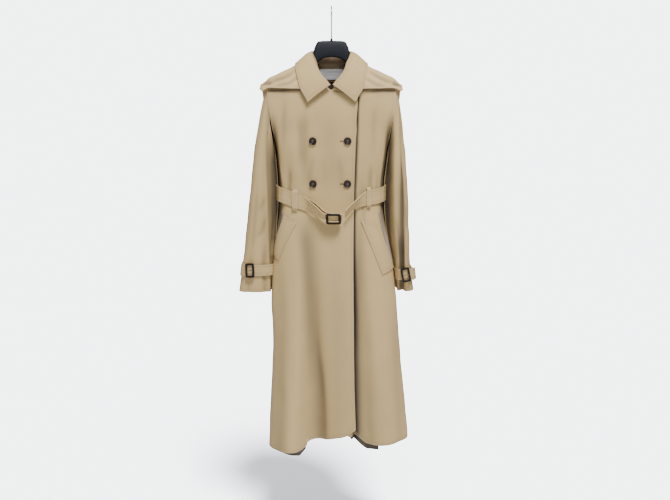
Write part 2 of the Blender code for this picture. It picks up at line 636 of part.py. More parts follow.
def sleeve_point(hand, angle, z, folded=True):
    """Point of a sleeve at height z: angle 0 is its outermost, a right angle its front."""
    table = SLEEVES[hand]
    outer, inner = hermite(table, z, "outer"), hermite(table, z, "inner")
    middle, half = (outer + inner) / 2, (outer - inner) / 2
    across, front = cos(angle), sin(angle)
    x = middle + half * abs(across) ** SLEEVE_SQUARE * (1 if across > 0 else -1)
    forward = abs(front) ** SLEEVE_SQUARE * (1 if front > 0 else -1)
    y = hermite(table, z, "y") - hermite(table, z, "depth") * forward
    x -= INNER_TUCK * smooth(-across, 0.1, 0.9) * smooth(y, *TUCK_DEPTH) * smooth(z, *TUCK_END)
    if folded:
        crease = SLEEVE_FOLDS[hand]
        off = (x - abs(hermite(crease, z, "x"))) / hermite(crease, z, "width")
        y += hermite(crease, z, "depth") * exp(-off**2) * forward
    return Vector((hand * max(x, side_limit(z, y, hand) + SLEEVE_CLEAR), y, z))


def sleeve_ring(hand, z, count):
    """Level ring of a sleeve: from the outermost point round the front to the innermost and back."""
    return [sleeve_point(hand, 2 * pi * k / count, z) for k in range(count)]


def sleeve_rings(hand):
    start, end = SLEEVES[hand][0].z, SLEEVES[hand][-1].z
    loop = armhole_loop(hand)
    count = len(loop)
    top = sleeve_ring(hand, start, count)
    rings = []
    for i in range(CAP_RINGS):
        t = i / CAP_RINGS
        ring = []
        for k, (seam, below) in enumerate(zip(loop, top)):
            point = seam.lerp(below, t)
            outward = 0.5 + 0.5 * cos(2 * pi * k / count)
            point.x += hand * CAP_BULGE * sin(pi * t) * outward
            ring.append(point)
        rings.append(ring)
    rings += [sleeve_ring(hand, mix(start, end, i / ARM_RINGS), count) for i in range(ARM_RINGS + 1)]
    return rings


def ring_normals(rings, hand):
    """Outward normals of a tube given by its rings."""
    count = len(rings[0])
    normals = []
    for i, ring in enumerate(rings):
        before, after = rings[max(i - 1, 0)], rings[min(i + 1, len(rings) - 1)]
        row = []
        for k in range(count):
            around = ring[(k + 1) % count] - ring[k - 1]
            down = after[k] - before[k]
            normal = around.cross(down) * hand
            row.append(without(normal.normalized(), 0) if i == 0 else normal.normalized())
        normals.append(row)
    return normals


def sleeve(name, hand):
    rings = sleeve_rings(hand)
    normals = ring_normals(rings, hand)
    inner = [[p - n * WALL for p, n in zip(*pair)] for pair in zip(rings, normals)]
    return cloth(name, rings, inner, tube=True)


# ---------------------------------------------------------------- grids of points
def grid_normals(grid, turned=False):
    """Normals of an open grid, pointing out where its columns run to the right seen from outside."""
    rows, columns = len(grid), len(grid[0])
    normals = []
    for i in range(rows):
        row = []
        for k in range(columns):
            across = grid[i][min(k + 1, columns - 1)] - grid[i][max(k - 1, 0)]
            down = grid[min(i + 1, rows - 1)][k] - grid[max(i - 1, 0)][k]
            normal = across.cross(down).normalized()
            row.append(normal if turned else -normal)
        normals.append(row)
    return normals


def moved(grid, normals, out):
    return [[p + n * out for p, n in zip(*pair)] for pair in zip(grid, normals)]


def laid(name, grid, wall=WALL, finish="gabardine", turned=False):
    """A piece of cloth whose outer face is this grid."""
    normals = grid_normals(grid, turned)
    return cloth(name, grid, moved(grid, normals, -wall), finish)


# ---------------------------------------------------------------- cape
def drop_of(z, x):
    """Signed length over the shoulder: the way down from the shoulder line at x to height z."""
    down = ridge_z(x) - z
    if down < RIDGE:
        return RIDGE * acos(1 - max(down, 0.0) / RIDGE)
    return RIDGE * pi / 2 + down - RIDGE


def height_of(length, x):
    length = abs(length)
    if length < RIDGE * pi / 2:
        return ridge_z(x) - RIDGE * (1 - cos(length / RIDGE))
    return ridge_z(x) - RIDGE - (length - RIDGE * pi / 2)


def hanging_point(x, length, out):
    """Point over the shoulder: a positive length is in front, a negative one behind."""

    def at(across, run):
        z = height_of(run, across)
        lit = hermite(LEVELS, z, "lit_right" if across < 0 else "lit_left")
        return body_at(across / lit, z, -1 if run >= 0 else 1, hanging=True)

    step = 0.002
    along = at(x + step, length) - at(x - step, length)
    forward = at(x, length + step) - at(x, length - step)
    normal = along.cross(forward).normalized()
    return at(x, length) - normal * out


def cape():
    lines = []
    for first, second in zip(CAPE, CAPE[1:]):
        for k in range(CAPE_STEPS):
            lines.append((first, second, k / CAPE_STEPS))
    lines.append((CAPE[-2], CAPE[-1], 1.0))
    half = []
    for first, second, t in lines:
        ends = []
        for part in ("neck", "edge"):
            x = [getattr(row, part + "_x") for row in (first, second)]
            lengths = [0.0 if row.side == 0 else -row.side * drop_of(getattr(row, part + "_z"), value)
                       for row, value in zip((first, second), x)]
            ends.append((mix(*x, t), mix(*lengths, t)))
        half.append((*ends, mix(first.lift, second.lift, t)))
    grid = []
    for i in range(CAPE_ROWS + 1):
        v = i / CAPE_ROWS
        row = []
        for hand, part in ((-1, half), (1, half[-2::-1])):
            for (neck, edge, lift) in part:
                x, length = mix(neck[0], edge[0], v), mix(neck[1], edge[1], v)
                row.append(hanging_point(hand * x, length, CAPE_ON + WALL + lift * v**1.4))
        grid.append(row)
    return laid("shoulder_cape", grid, turned=True)


# ---------------------------------------------------------------- collar
def neck_foot(hand):
    """Top points of the front and the back round half the neck, from the centre front."""
    inside = NECK_U - 1e-6
    front = sorted((u for u in front_columns(0.0) if 0.004 < u * hand < inside), key=abs)
    back = sorted((u for u in back_columns() if -1e-6 < u * hand < inside), key=abs, reverse=True)
    foot = [body(u, neckline(u, -1, True), -1) for u in front]
    foot.append(body(hand * NECK_U, 0.0, -1) + Vector((0, GAP / 2, 0)))
    foot += [body(u, neckline(u, 1, True), 1) for u in back]
    return [point + Vector((0, 0, STAND_FOOT)) for point in foot]


def roll_at(angle, hand):
    """Point of the roll line at this angle round the neck, and the way out there."""
    x, y, z = (hermite(COLLAR, angle, "roll_" + axis, "angle") for axis in "xyz")
    roll = Vector((hand * x, y, z))
    turn = angle * pi / 180
    return roll, Vector((hand * sin(turn), -cos(turn), 0))


def stand_grid():
    """The stand, from the roll line down to the neckline."""
    lines = []
    for hand in (-1, 1):
        half = []
        for foot in neck_foot(hand):
            angle = abs(atan2(foot.x, -foot.y)) * 180 / pi
            half.append((roll_at(angle, hand)[0], foot))
        lines = lines + (half if hand < 0 else half[-2::-1])
    return [[roll.lerp(foot, i / STAND_ROWS) for roll, foot in lines] for i in range(STAND_ROWS + 1)]


def fall_grid():
    """The fall, from the roll line over the shoulders to its outer edge."""
    lines = []
    for hand in (-1, 1):
        half = []
        for k in range(COLLAR_COLUMNS + 1):
            angle = 180 * k / COLLAR_COLUMNS
            row = {c: hermite(COLLAR, angle, c, "angle") for c in ("edge_x", "edge", "lift", "crown")}
            roll, out = roll_at(angle, hand)
            start = roll + out * (WALL + GAP) + Vector((0, 0, GAP))
            edge = hanging_point(hand * row["edge_x"], row["edge"], row["lift"])
            over = start.lerp(edge, COLLAR_TURN) + (out + Vector((0, 0, 1))) * row["crown"]
            half.append((start, over, edge))
        lines = lines + (half if hand < 0 else half[-2::-1])
    grid = []
    for i in range(COLLAR_ROWS + 1):
        t = i / COLLAR_ROWS
        grid.append([a * (1 - t) ** 2 + b * (2 * t * (1 - t)) + c * t**2 for a, b, c in lines])
    return grid


def collar():
    laid("collar_stand", stand_grid(), turned=True)
    laid("collar_fall", fall_grid(), turned=True)


# ---------------------------------------------------------------- linings and label
def inside_back(x, z, inset):
    """Point inside the back of the neck: on the back panel, and above it on the collar's stand."""
    u = x / TIP_X
    foot = body(u, neckline(u, 1, True), 1)
    angle = abs(atan2(x, -foot.y)) * 180 / pi
    roll, out = roll_at(angle, -1 if x < 0 else 1)
    if z <= foot.z:
        return on_body(x, z, 1, -inset)[0] - out * inset * (1 - smooth(foot.z - z, 0.0, 0.012))
    share = min(1.0, (z - foot.z) / (roll.z - foot.z))
    return foot.lerp(roll, share) - out * inset


def neck_lining():
    grid = []
    for z in NECK_LINING_Z:
        grid.append([inside_back(mix(-NECK_LINING_X, NECK_LINING_X, k / 10), z, LINING_IN)
                     for k in range(11)])
    laid("back_neck_lining", grid, LINING, "lining")


def neck_label():
    grid = []
    inset = LINING_IN + LABEL_T + ON_CLOTH
    for i in range(4):
        row = []
        for k in range(9):
            x = mix(-LABEL_W / 2, LABEL_W / 2, k / 8) + LABEL_X
            bottom = LABEL_Z - LABEL_H * (1 - 0.18 * (2 * k / 8 - 1) ** 4)
            row.append(inside_back(x, mix(LABEL_Z, bottom, i / 3), inset))
        grid.append(row)
    laid("neck_label", grid, LABEL_T, "label")


def hem_linings():
    """Strips inside the fronts' hems, on the same columns, which show below them."""
    for hand, (name, peeks) in HEM_LININGS.items():
        outer, normals = front_grids(hand)
        inside = moved(outer, normals, -(WALL + 3 * GAP))
        columns = [k for k, point in enumerate(inside[-1]) if peeks[0].x < point.x < peeks[-1].x]
        grid = []
        for i in range(4):
            row = []
            for k in columns:
                above, hem = inside[-2][k], inside[-1][k]
                low = 1 + hermite(peeks, hem.x, "drop", "x") / (hem - above).length
                row.append(above.lerp(hem, mix(HEM_LINING_TOP, low, i / 3)))
            grid.append(row)
        laid(name, grid, LINING, "lining", turned=False)


# ---------------------------------------------------------------- pockets
def patch(name, corners, outs, wall, finish, rows, columns):
    """Piece on the front between four corners (column, height), at a height above it at each side."""
    (tl, tr, bl, br) = corners
    grid = []
    for i in range(rows + 1):
        v = i / rows
        row = []
        for k in range(columns + 1):
            h = k / columns
            u = mix(mix(tl[0], tr[0], h), mix(bl[0], br[0], h), v)
            z = mix(mix(tl[1], tr[1], h), mix(bl[1], br[1], h), v)
            normal = body_normal(u, row_at(u, z, -1), -1)
            row.append(body_at(u, z, -1) + normal * mix(*outs, h))
        grid.append(row)
    laid(name, grid, wall, finish)


def pockets():
    for hand, side in ((-1, "right"), (1, "left")):
        outer_out, inner_out = WELT_OUT
        outs = (outer_out, inner_out) if hand < 0 else (inner_out, outer_out)
        patch("pocket_welt_" + side, WELTS[side], outs, WALL, "gabardine", 8, 4)
        patch("pocket_lining_" + side, POCKET_LININGS[side], (LINING_OUT, LINING_OUT), LINING,
              "pocketing", 8, 2)


# ---------------------------------------------------------------- belt
def round_body(w, z):
    """Point round the body: w from 1 down to -1 in front, on to -3 round the back, then in front."""
    if w >= -1:
        return body_at(w, z, -1)
    if w >= -3:
        return body_at(-2 - w, z, 1)
    return body_at(w + 4, z, -1)


def round_place(point):
    """Place of a belt point round the body."""
    z = (point.low + point.high) / 2
    if point.side == 0:
        return point.x if point.x < 0 else -3.0
    if point.side > 0:
        return -2 - column_at(point.x, z, 1)
    return column_at(point.x, z, -1)


def level_out(w, z):
    """Level outward direction at this place round the body."""
    along = round_body(w - 0.03, z) - round_body(w + 0.03, z)
    return Vector((along.y, -along.x, 0)).normalized() * -1


def belt_places(table):
    places = []
    for point in table:
        w = round_place(point)
        if places and w > places[-1]:
            w -= 4
        places.append(w)
    return places


def belt_grid(table, steps, wall):
    """Rows of the belt from its top edge to its bottom edge, along the table."""
    stations = [Station(k, w, point.low, point.high, point.lean, point.stand)
                for k, (w, point) in enumerate(zip(belt_places(table), table))]
    grid = [[] for _ in range(BELT_ROWS + 1)]
    for i in range((len(table) - 1) * steps + 1):
        at = i / steps
        columns = ("w", "low", "high", "lean", "stand")
        w, low, high, lean, stand = (hermite(stations, at, column, "k") for column in columns)
        out = level_out(w, (low + high) / 2)
        for k, row in enumerate(grid):
            share = 1 - k / BELT_ROWS
            z = mix(low, high, share)
            row.append(round_body(w, z) + out * (BELT_ON + wall + stand + lean * share))
    return grid


def belt():
    laid("belt", belt_grid(BELT, BELT_STEPS, BELT_WALL), BELT_WALL, turned=True)
    laid("belt_end", belt_grid(BELT_END, BELT_STEPS, BELT_WALL), BELT_WALL, turned=True)


def belt_loops():
    for name, x, low, high, out in LOOPS:
        grid = []
        for i in range(9):
            z = mix(high, low, i / 8)
            bump = min(1, i, 8 - i)
            row = []
            for k in range(3):
                place = column_at(x + LOOP_W * (k / 2 - 0.5), z, -1)
                row.append(round_body(place, z) + level_out(place, z) * (LOOP_ON + WALL + out * bump))
            grid.append(row)
        laid(name, grid)


# ---------------------------------------------------------------- cuff straps
def strap_point(hand, angle, z, out):
    """Point out from the sleeve at this angle, which may run past a full turn."""
    along = sleeve_point(hand, angle + 0.06, z, False) - sleeve_point(hand, angle - 0.06, z, False)
    normal = Vector((along.y, -along.x, 0)).normalized() * -hand
    return sleeve_point(hand, angle, z, False) + normal * out, normal


def cuff(hand, side):
    """Strap once round the sleeve and through its buckle, with its tip laid over its start."""
    spec = CUFFS[side]
    grid = [[] for _ in range(3)]
    for k in range(CUFF_STEPS + 1):
        turned = mix(0.0, 2 * pi + spec.tip, k / CUFF_STEPS)
        over = smooth(turned, 2 * pi - 0.75, 2 * pi - 0.15)
        out = STRAP_ON + WALL + over * (WALL + 2 * GAP)
        lift = spec.tip_lift * smooth(turned, 2 * pi + 0.3, 2 * pi + spec.tip)
        for row, share in zip(grid, (0.5, 0.0, -0.5)):
            z = spec.z + CUFF_STRAP * share
            row.append(strap_point(hand, spec.angle - turned, z, out + lift)[0])
    laid("cuff_strap_" + side, grid, turned=hand < 0)

    on_strap = STRAP_ON + 2 * WALL + 3 * GAP
    centre, normal = strap_point(hand, spec.angle - 0.12, spec.z, on_strap + CUFF_T / 2 + spec.buckle_on)
    up = Matrix.Rotation(spec.tilt, 3, normal) @ Vector((0, 0, 1))
    ring("cuff_buckle_" + side, centre, up, normal, CUFF_BUCKLE_W, CUFF_BUCKLE_H, CUFF_BAR, CUFF_T)
    prong("cuff_prong_" + side, centre, up, normal, CUFF_BUCKLE_W, CUFF_T, 0.0011)

    keeper = []
    for share, dip in KEEPER_ROWS:
        z = spec.z + CUFF_STRAP * share
        out = on_strap + WALL + 3 * GAP - dip
        keeper.append([strap_point(hand, spec.keeper + KEEPER_W * k, z, out)[0] for k in (-0.5, 0.5)])
    laid("cuff_keeper_" + side, keeper, turned=hand > 0)


# ---------------------------------------------------------------- buckles and buttons
def placed(made, centre, right, up, normal):
    made.matrix_world = Matrix.Translation(centre) @ Matrix((right, up, normal)).transposed().to_4x4()


def wire(name, points, radius, finish, cyclic=False, resolution=2):
    """Round bar along these points."""
    curve = bpy.data.curves.new(name, "CURVE")
    curve.dimensions = "3D"
    curve.bevel_depth = radius
    curve.bevel_resolution = resolution
    curve.use_fill_caps = not cyclic
    spline = curve.splines.new("POLY")
    spline.points.add(len(points) - 1)
    for place, point in zip(spline.points, points):
        place.co = (*point, 1)
    spline.use_cyclic_u = cyclic
    return add(name, curve, finish)


def ring(name, centre, up, normal, width, height, bar, thick):
    """Rounded rectangular buckle frame of one bar, flattened across."""
    corner = min(width, height) * 0.24
    half_w, half_h = (width - bar) / 2, (height - bar) / 2
    points = []
    for sx, sy, start in ((1, 1, 0), (-1, 1, 90), (-1, -1, 180), (1, -1, 270)):
        for k in range(4):
            turn = (start + 90 * k / 3) * pi / 180
            points.append((sx * (half_w - corner) + corner * cos(turn),
                           sy * (half_h - corner) + corner * sin(turn), 0.0))
    made = wire(name, points, bar / 2, "leather", cyclic=True)
    right = up.cross(normal).normalized()
    placed(made, centre, right, up, normal)
    made.scale = (1, 1, thick / bar)


def prong(name, centre, up, normal, width, thick, radius):
    """Prong across the window, lying on the buckle's two side bars."""
    right = up.cross(normal).normalized()
    height = normal * (thick / 2 + radius + GAP)
    ends = [centre + height + right * side * (width / 2 - 0.002) for side in (-1, 1)]
    wire(name, ends, radius, "leather")


def belt_buckle():
    grid = belt_grid(BELT[:2], 2, BELT_WALL)
    centre = grid[1][1]
    up = (grid[0][1] - grid[2][1]).normalized()
    normal = (grid[1][0] - grid[1][2]).cross(up).normalized()
    centre = centre + normal * (BUCKLE_T / 2 + ON_CLOTH)
    ring("belt_buckle", centre, up, normal, BUCKLE_W, BUCKLE_H, BUCKLE_BAR, BUCKLE_T)
    prong("belt_prong", centre, up, normal, BUCKLE_W, BUCKLE_T, 0.0016)


def turned(name, profile, finish, steps=14):
    """Turned piece about Z, from its profile of (radius, height) from top to bottom."""
    mesh = bpy.data.meshes.new(name)
    mesh.from_pydata([(r, 0, z) for r, z in profile], [(k, k + 1) for k in range(len(profile) - 1)], [])
    made = add(name, mesh, finish)
    screw = made.modifiers.new("turn", "SCREW")
    screw.steps = screw.render_steps = steps
    screw.use_merge_vertices = True
    screw.merge_threshold = 0.00001
    screw.use_smooth_shade = True
    return made


def buttons():
    r, t = BUTTON_D / 2, BUTTON_T
    profile = ((0.0, t * 0.70), (r * 0.55, t * 0.70), (r * 0.78, t), (r * 0.95, t * 0.86), (r, t * 0.5),
               (r * 0.86, t * 0.1), (r * 0.5, 0.0), (0.0, 0.0))
    for row, z in zip(("upper", "lower"), BUTTON_Z):
        for side, x in zip(("right", "left"), BUTTON_X):
            made = turned(f"button_{row}_{side}", profile, "button")
            foot, normal = on_body(x, z, -1, BUTTON_ON)
            right = Vector((1, 0, 0))
            up = normal.cross(right).normalized()
            placed(made, foot, up.cross(normal).normalized(), up, normal)


# ---------------------------------------------------------------- hanger
def hanger():
    half = list(HANGER)
    for x, depth in ARM_STATIONS:
        top = ridge_z(x) - ARM_UNDER - (0.006 if x > 0.19 else 0.0015 if x > 0.18 else 0.0)
        bottom = ridge_z(x) - ARM_UNDER - (ARM_HEIGHT - (0.006 if x > 0.19 else 0.0))
        half.append(Hanger(x, top, bottom, depth))
    stations = [row._replace(x=-row.x) for row in half[:0:-1]] + half
    mesh = bmesh.new()
    rings = []
    for row in stations:
        middle, height = (row.top + row.bottom) / 2, (row.top - row.bottom) / 2
        points = []
        for k in range(HANGER_SIDES):
            turn = 2 * pi * k / HANGER_SIDES
            points.append(mesh.verts.new((row.x, row.depth * sin(turn), middle + height * cos(turn))))
        rings.append(points)
    for first, second in zip(rings, rings[1:]):
        for k in range(HANGER_SIDES):
            j = (k + 1) % HANGER_SIDES
            mesh.faces.new((first[k], first[j], second[j], second[k]))
    mesh.faces.new(rings[0])
    mesh.faces.new(rings[-1])
    bmesh.ops.recalc_face_normals(mesh, faces=mesh.faces)
    data = bpy.data.meshes.new("hanger_body")
    mesh.to_mesh(data)
    mesh.free()
    data.shade_smooth()
    add("hanger_body", data, "hanger")

    top = HANGER[0].top
    turned("hanger_ferrule", ((0.0, FERRULE_Z), (0.0026, FERRULE_Z), (0.0037, FERRULE_Z - 0.003),
                              (0.0037, top + 0.002), (0.0030, top + GAP), (0.0, top + GAP)), "chrome", 16)
    radius = HOOK_R + WIRE_R
    middle = -HOOK_R
    points = [(0, 0, FERRULE_Z + GAP), (0, 0, -0.074), (0, -0.0012, -0.064)]
    points += [(0, radius * cos(turn * pi / 180), middle + radius * sin(turn * pi / 180))
               for turn in range(236, -21, -16)]
    wire("hanger_hook", points, WIRE_R, "chrome")


# ---------------------------------------------------------------- clearing the scene, and the list
for leftover in list(bpy.data.objects):
    bpy.data.objects.remove(leftover, do_unlink=True)
COAT = collection("trench_coat")
MATERIALS = {name: material(name) for name in COLOURS}

front_panel("front_right_panel", -1)
front_panel("front_left_panel", 1)
back_panel()
sleeve("sleeve_right", -1)
sleeve("sleeve_left", 1)
cape()
collar()
neck_lining()
neck_label()
hem_linings()
pockets()
belt()
belt_loops()
cuff(-1, "right")
cuff(1, "left")
belt_buckle()
buttons()
hanger()
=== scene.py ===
import json
from functools import partial
from math import cos, exp, pi, radians, sin

import bmesh
import bpy
import numpy as np
from mathutils import Matrix, Vector
from mathutils.bvhtree import BVHTree
from mathutils.kdtree import KDTree
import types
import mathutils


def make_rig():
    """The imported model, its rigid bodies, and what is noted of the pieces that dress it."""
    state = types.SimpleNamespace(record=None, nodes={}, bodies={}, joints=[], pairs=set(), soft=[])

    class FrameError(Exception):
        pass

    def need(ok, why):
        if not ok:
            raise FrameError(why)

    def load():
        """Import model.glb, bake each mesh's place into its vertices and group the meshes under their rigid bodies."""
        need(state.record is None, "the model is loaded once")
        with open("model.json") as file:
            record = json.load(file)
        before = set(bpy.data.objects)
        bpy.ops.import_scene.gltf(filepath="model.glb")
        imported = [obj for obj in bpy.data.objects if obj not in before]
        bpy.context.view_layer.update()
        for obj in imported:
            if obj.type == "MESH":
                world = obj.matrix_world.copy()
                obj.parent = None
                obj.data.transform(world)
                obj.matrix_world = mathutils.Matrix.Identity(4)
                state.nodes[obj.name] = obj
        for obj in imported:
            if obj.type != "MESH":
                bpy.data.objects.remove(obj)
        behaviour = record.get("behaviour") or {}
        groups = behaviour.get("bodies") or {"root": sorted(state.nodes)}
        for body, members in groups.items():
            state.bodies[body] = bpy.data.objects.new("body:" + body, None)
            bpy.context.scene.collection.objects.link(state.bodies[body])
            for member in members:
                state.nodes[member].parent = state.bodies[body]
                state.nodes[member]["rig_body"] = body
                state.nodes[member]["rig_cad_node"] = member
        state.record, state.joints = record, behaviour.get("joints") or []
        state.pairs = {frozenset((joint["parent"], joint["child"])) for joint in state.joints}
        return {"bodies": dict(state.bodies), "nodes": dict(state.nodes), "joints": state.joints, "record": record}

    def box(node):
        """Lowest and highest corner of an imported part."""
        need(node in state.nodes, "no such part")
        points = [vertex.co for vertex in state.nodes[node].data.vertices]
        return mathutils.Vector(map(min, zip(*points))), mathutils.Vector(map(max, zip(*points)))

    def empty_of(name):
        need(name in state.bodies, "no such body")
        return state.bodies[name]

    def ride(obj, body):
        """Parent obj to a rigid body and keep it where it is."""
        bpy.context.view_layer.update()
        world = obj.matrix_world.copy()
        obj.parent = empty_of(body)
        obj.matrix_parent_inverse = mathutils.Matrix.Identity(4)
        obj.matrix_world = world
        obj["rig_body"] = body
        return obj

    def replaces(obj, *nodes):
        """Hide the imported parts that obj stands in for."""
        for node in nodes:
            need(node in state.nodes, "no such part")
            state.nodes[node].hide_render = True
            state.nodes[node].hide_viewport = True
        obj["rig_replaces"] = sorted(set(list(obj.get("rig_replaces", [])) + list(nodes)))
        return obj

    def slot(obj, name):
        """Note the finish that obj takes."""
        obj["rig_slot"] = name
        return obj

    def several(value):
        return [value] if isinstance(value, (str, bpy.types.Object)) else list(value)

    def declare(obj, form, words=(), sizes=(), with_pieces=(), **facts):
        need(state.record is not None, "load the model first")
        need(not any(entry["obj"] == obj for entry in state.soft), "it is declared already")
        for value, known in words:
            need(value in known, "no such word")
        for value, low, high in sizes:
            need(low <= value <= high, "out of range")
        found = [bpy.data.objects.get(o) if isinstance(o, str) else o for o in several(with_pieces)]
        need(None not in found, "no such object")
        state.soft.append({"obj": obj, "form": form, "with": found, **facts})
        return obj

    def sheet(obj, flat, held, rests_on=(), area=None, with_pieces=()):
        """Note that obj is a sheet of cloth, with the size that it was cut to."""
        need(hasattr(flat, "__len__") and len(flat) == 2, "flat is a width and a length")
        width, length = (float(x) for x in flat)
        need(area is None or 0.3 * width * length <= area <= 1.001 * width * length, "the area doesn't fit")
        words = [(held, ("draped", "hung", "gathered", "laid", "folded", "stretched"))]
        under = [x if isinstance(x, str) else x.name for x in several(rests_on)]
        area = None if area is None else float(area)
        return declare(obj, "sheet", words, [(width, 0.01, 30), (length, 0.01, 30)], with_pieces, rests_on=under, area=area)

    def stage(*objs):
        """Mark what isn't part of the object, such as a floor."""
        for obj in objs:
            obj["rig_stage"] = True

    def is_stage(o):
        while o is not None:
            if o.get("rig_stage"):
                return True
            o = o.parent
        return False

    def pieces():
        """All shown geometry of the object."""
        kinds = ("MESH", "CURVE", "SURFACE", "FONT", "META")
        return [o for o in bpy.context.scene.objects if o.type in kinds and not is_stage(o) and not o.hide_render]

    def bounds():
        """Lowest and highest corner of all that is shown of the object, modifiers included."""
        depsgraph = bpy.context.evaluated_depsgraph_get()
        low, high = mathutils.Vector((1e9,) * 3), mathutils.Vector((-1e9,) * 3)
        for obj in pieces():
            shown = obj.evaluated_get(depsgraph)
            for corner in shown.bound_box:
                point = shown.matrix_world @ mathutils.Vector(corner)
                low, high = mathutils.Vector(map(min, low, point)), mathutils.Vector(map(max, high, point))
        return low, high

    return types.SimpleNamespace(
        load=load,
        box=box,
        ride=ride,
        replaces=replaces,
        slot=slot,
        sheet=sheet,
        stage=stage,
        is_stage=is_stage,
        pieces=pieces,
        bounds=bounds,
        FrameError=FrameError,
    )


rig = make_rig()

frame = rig.load()
nodes = frame["nodes"]
cadBox = [list(corner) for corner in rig.bounds()]
print("frame loaded:", len(nodes), "nodes")


def feed(tree, slot, value):
    # sets a number or a colour on a slot, or links another node's output to it
    if isinstance(value, (int, float, tuple)):
        slot.default_value = value
    else:
        tree.links.new(value, slot)


def addNode(tree, kind, **settings):
    node = tree.nodes.new("ShaderNode" + kind)
    for key, value in settings.items():
        if key in node.bl_rna.properties:
            setattr(node, key, value)
        else:
            feed(tree, node.inputs[key.replace("_", " ")], value)
    return node


def mathNode(tree, operation, *values):
    node = addNode(tree, "Math", operation=operation)
    for slot, value in zip(node.inputs, values):
        feed(tree, slot, value)
    return node.outputs[0]


def blendColours(tree, share, first, second):
    mix = addNode(tree, "Mix", data_type="RGBA")
    for key, value in (("Factor", share), ("A", first), ("B", second)):
        feed(tree, mix.inputs[key], value)
    return mix.outputs["Result"]


def band(tree, value, middle, half):
    # 1 where value is within half of middle, falling softly to 0
    off = mathNode(tree, "ABSOLUTE", mathNode(tree, "SUBTRACT", value, middle))
    share = mathNode(tree, "SUBTRACT", 1.5, mathNode(tree, "DIVIDE", off, half))
    return mathNode(tree, "SMOOTH_MIN", 1.0, mathNode(tree, "MAXIMUM", 0.0, share), 0.2)


def newMaterial(name):
    material = bpy.data.materials.new(name)
    material.use_nodes = True
    return material, material.node_tree, material.node_tree.nodes["Principled BSDF"]


def finishShader(tree, shader, height, slots):
    bump = addNode(tree, "Bump", Strength=1.0, Distance=1.0, Height=height)
    for key, value in dict(slots, Normal=bump.outputs["Normal"]).items():
        feed(tree, shader.inputs[key], value)


cloth = {
    "light": (0.548, 0.398, 0.190, 1),       # raised twill
    "dark": (0.435, 0.309, 0.138, 1),        # between its ribs
    "rib": 0.0011, "ribHeight": 0.000096, "ribTurn": 28,
    "slub": (900.0, 0.12),                   # fine unevenness of the yarn, and its stretch along it
    "cloudy": 7.0, "cloudyTone": 0.20, "cloudyGloss": 0.10,
    "foldShade": (0.080, 0.064, 0.046, 1),   # painted shade in the troughs of its folds and under other pieces
    "foldShare": 0.85,
    "deepShade": (0.014, 0.010, 0.008, 1),   # where no light comes in between two pieces
    "topstitch": (0.0015, 0.0068),           # rows of it, from the edge
    "thread": (0.56, 0.43, 0.26, 1), "threadShare": 0.8, "threadHeight": 0.00030, "threadHalf": 0.00042,
    "stitch": 0.0030, "dash": (0.42, 0.26),  # length of a stitch with its hole, and the part that shows of it
    "furrowShade": (0.30, 0.205, 0.105, 1), "furrowShare": 0.22, "furrowDepth": 0.00045, "furrowHalf": 0.0016,
    "wornEdge": (0.72, 0.56, 0.33, 1), "wornShare": 0.45, "wornHalf": 0.0010,    # painted highlight along turned edges, where they catch the light
}


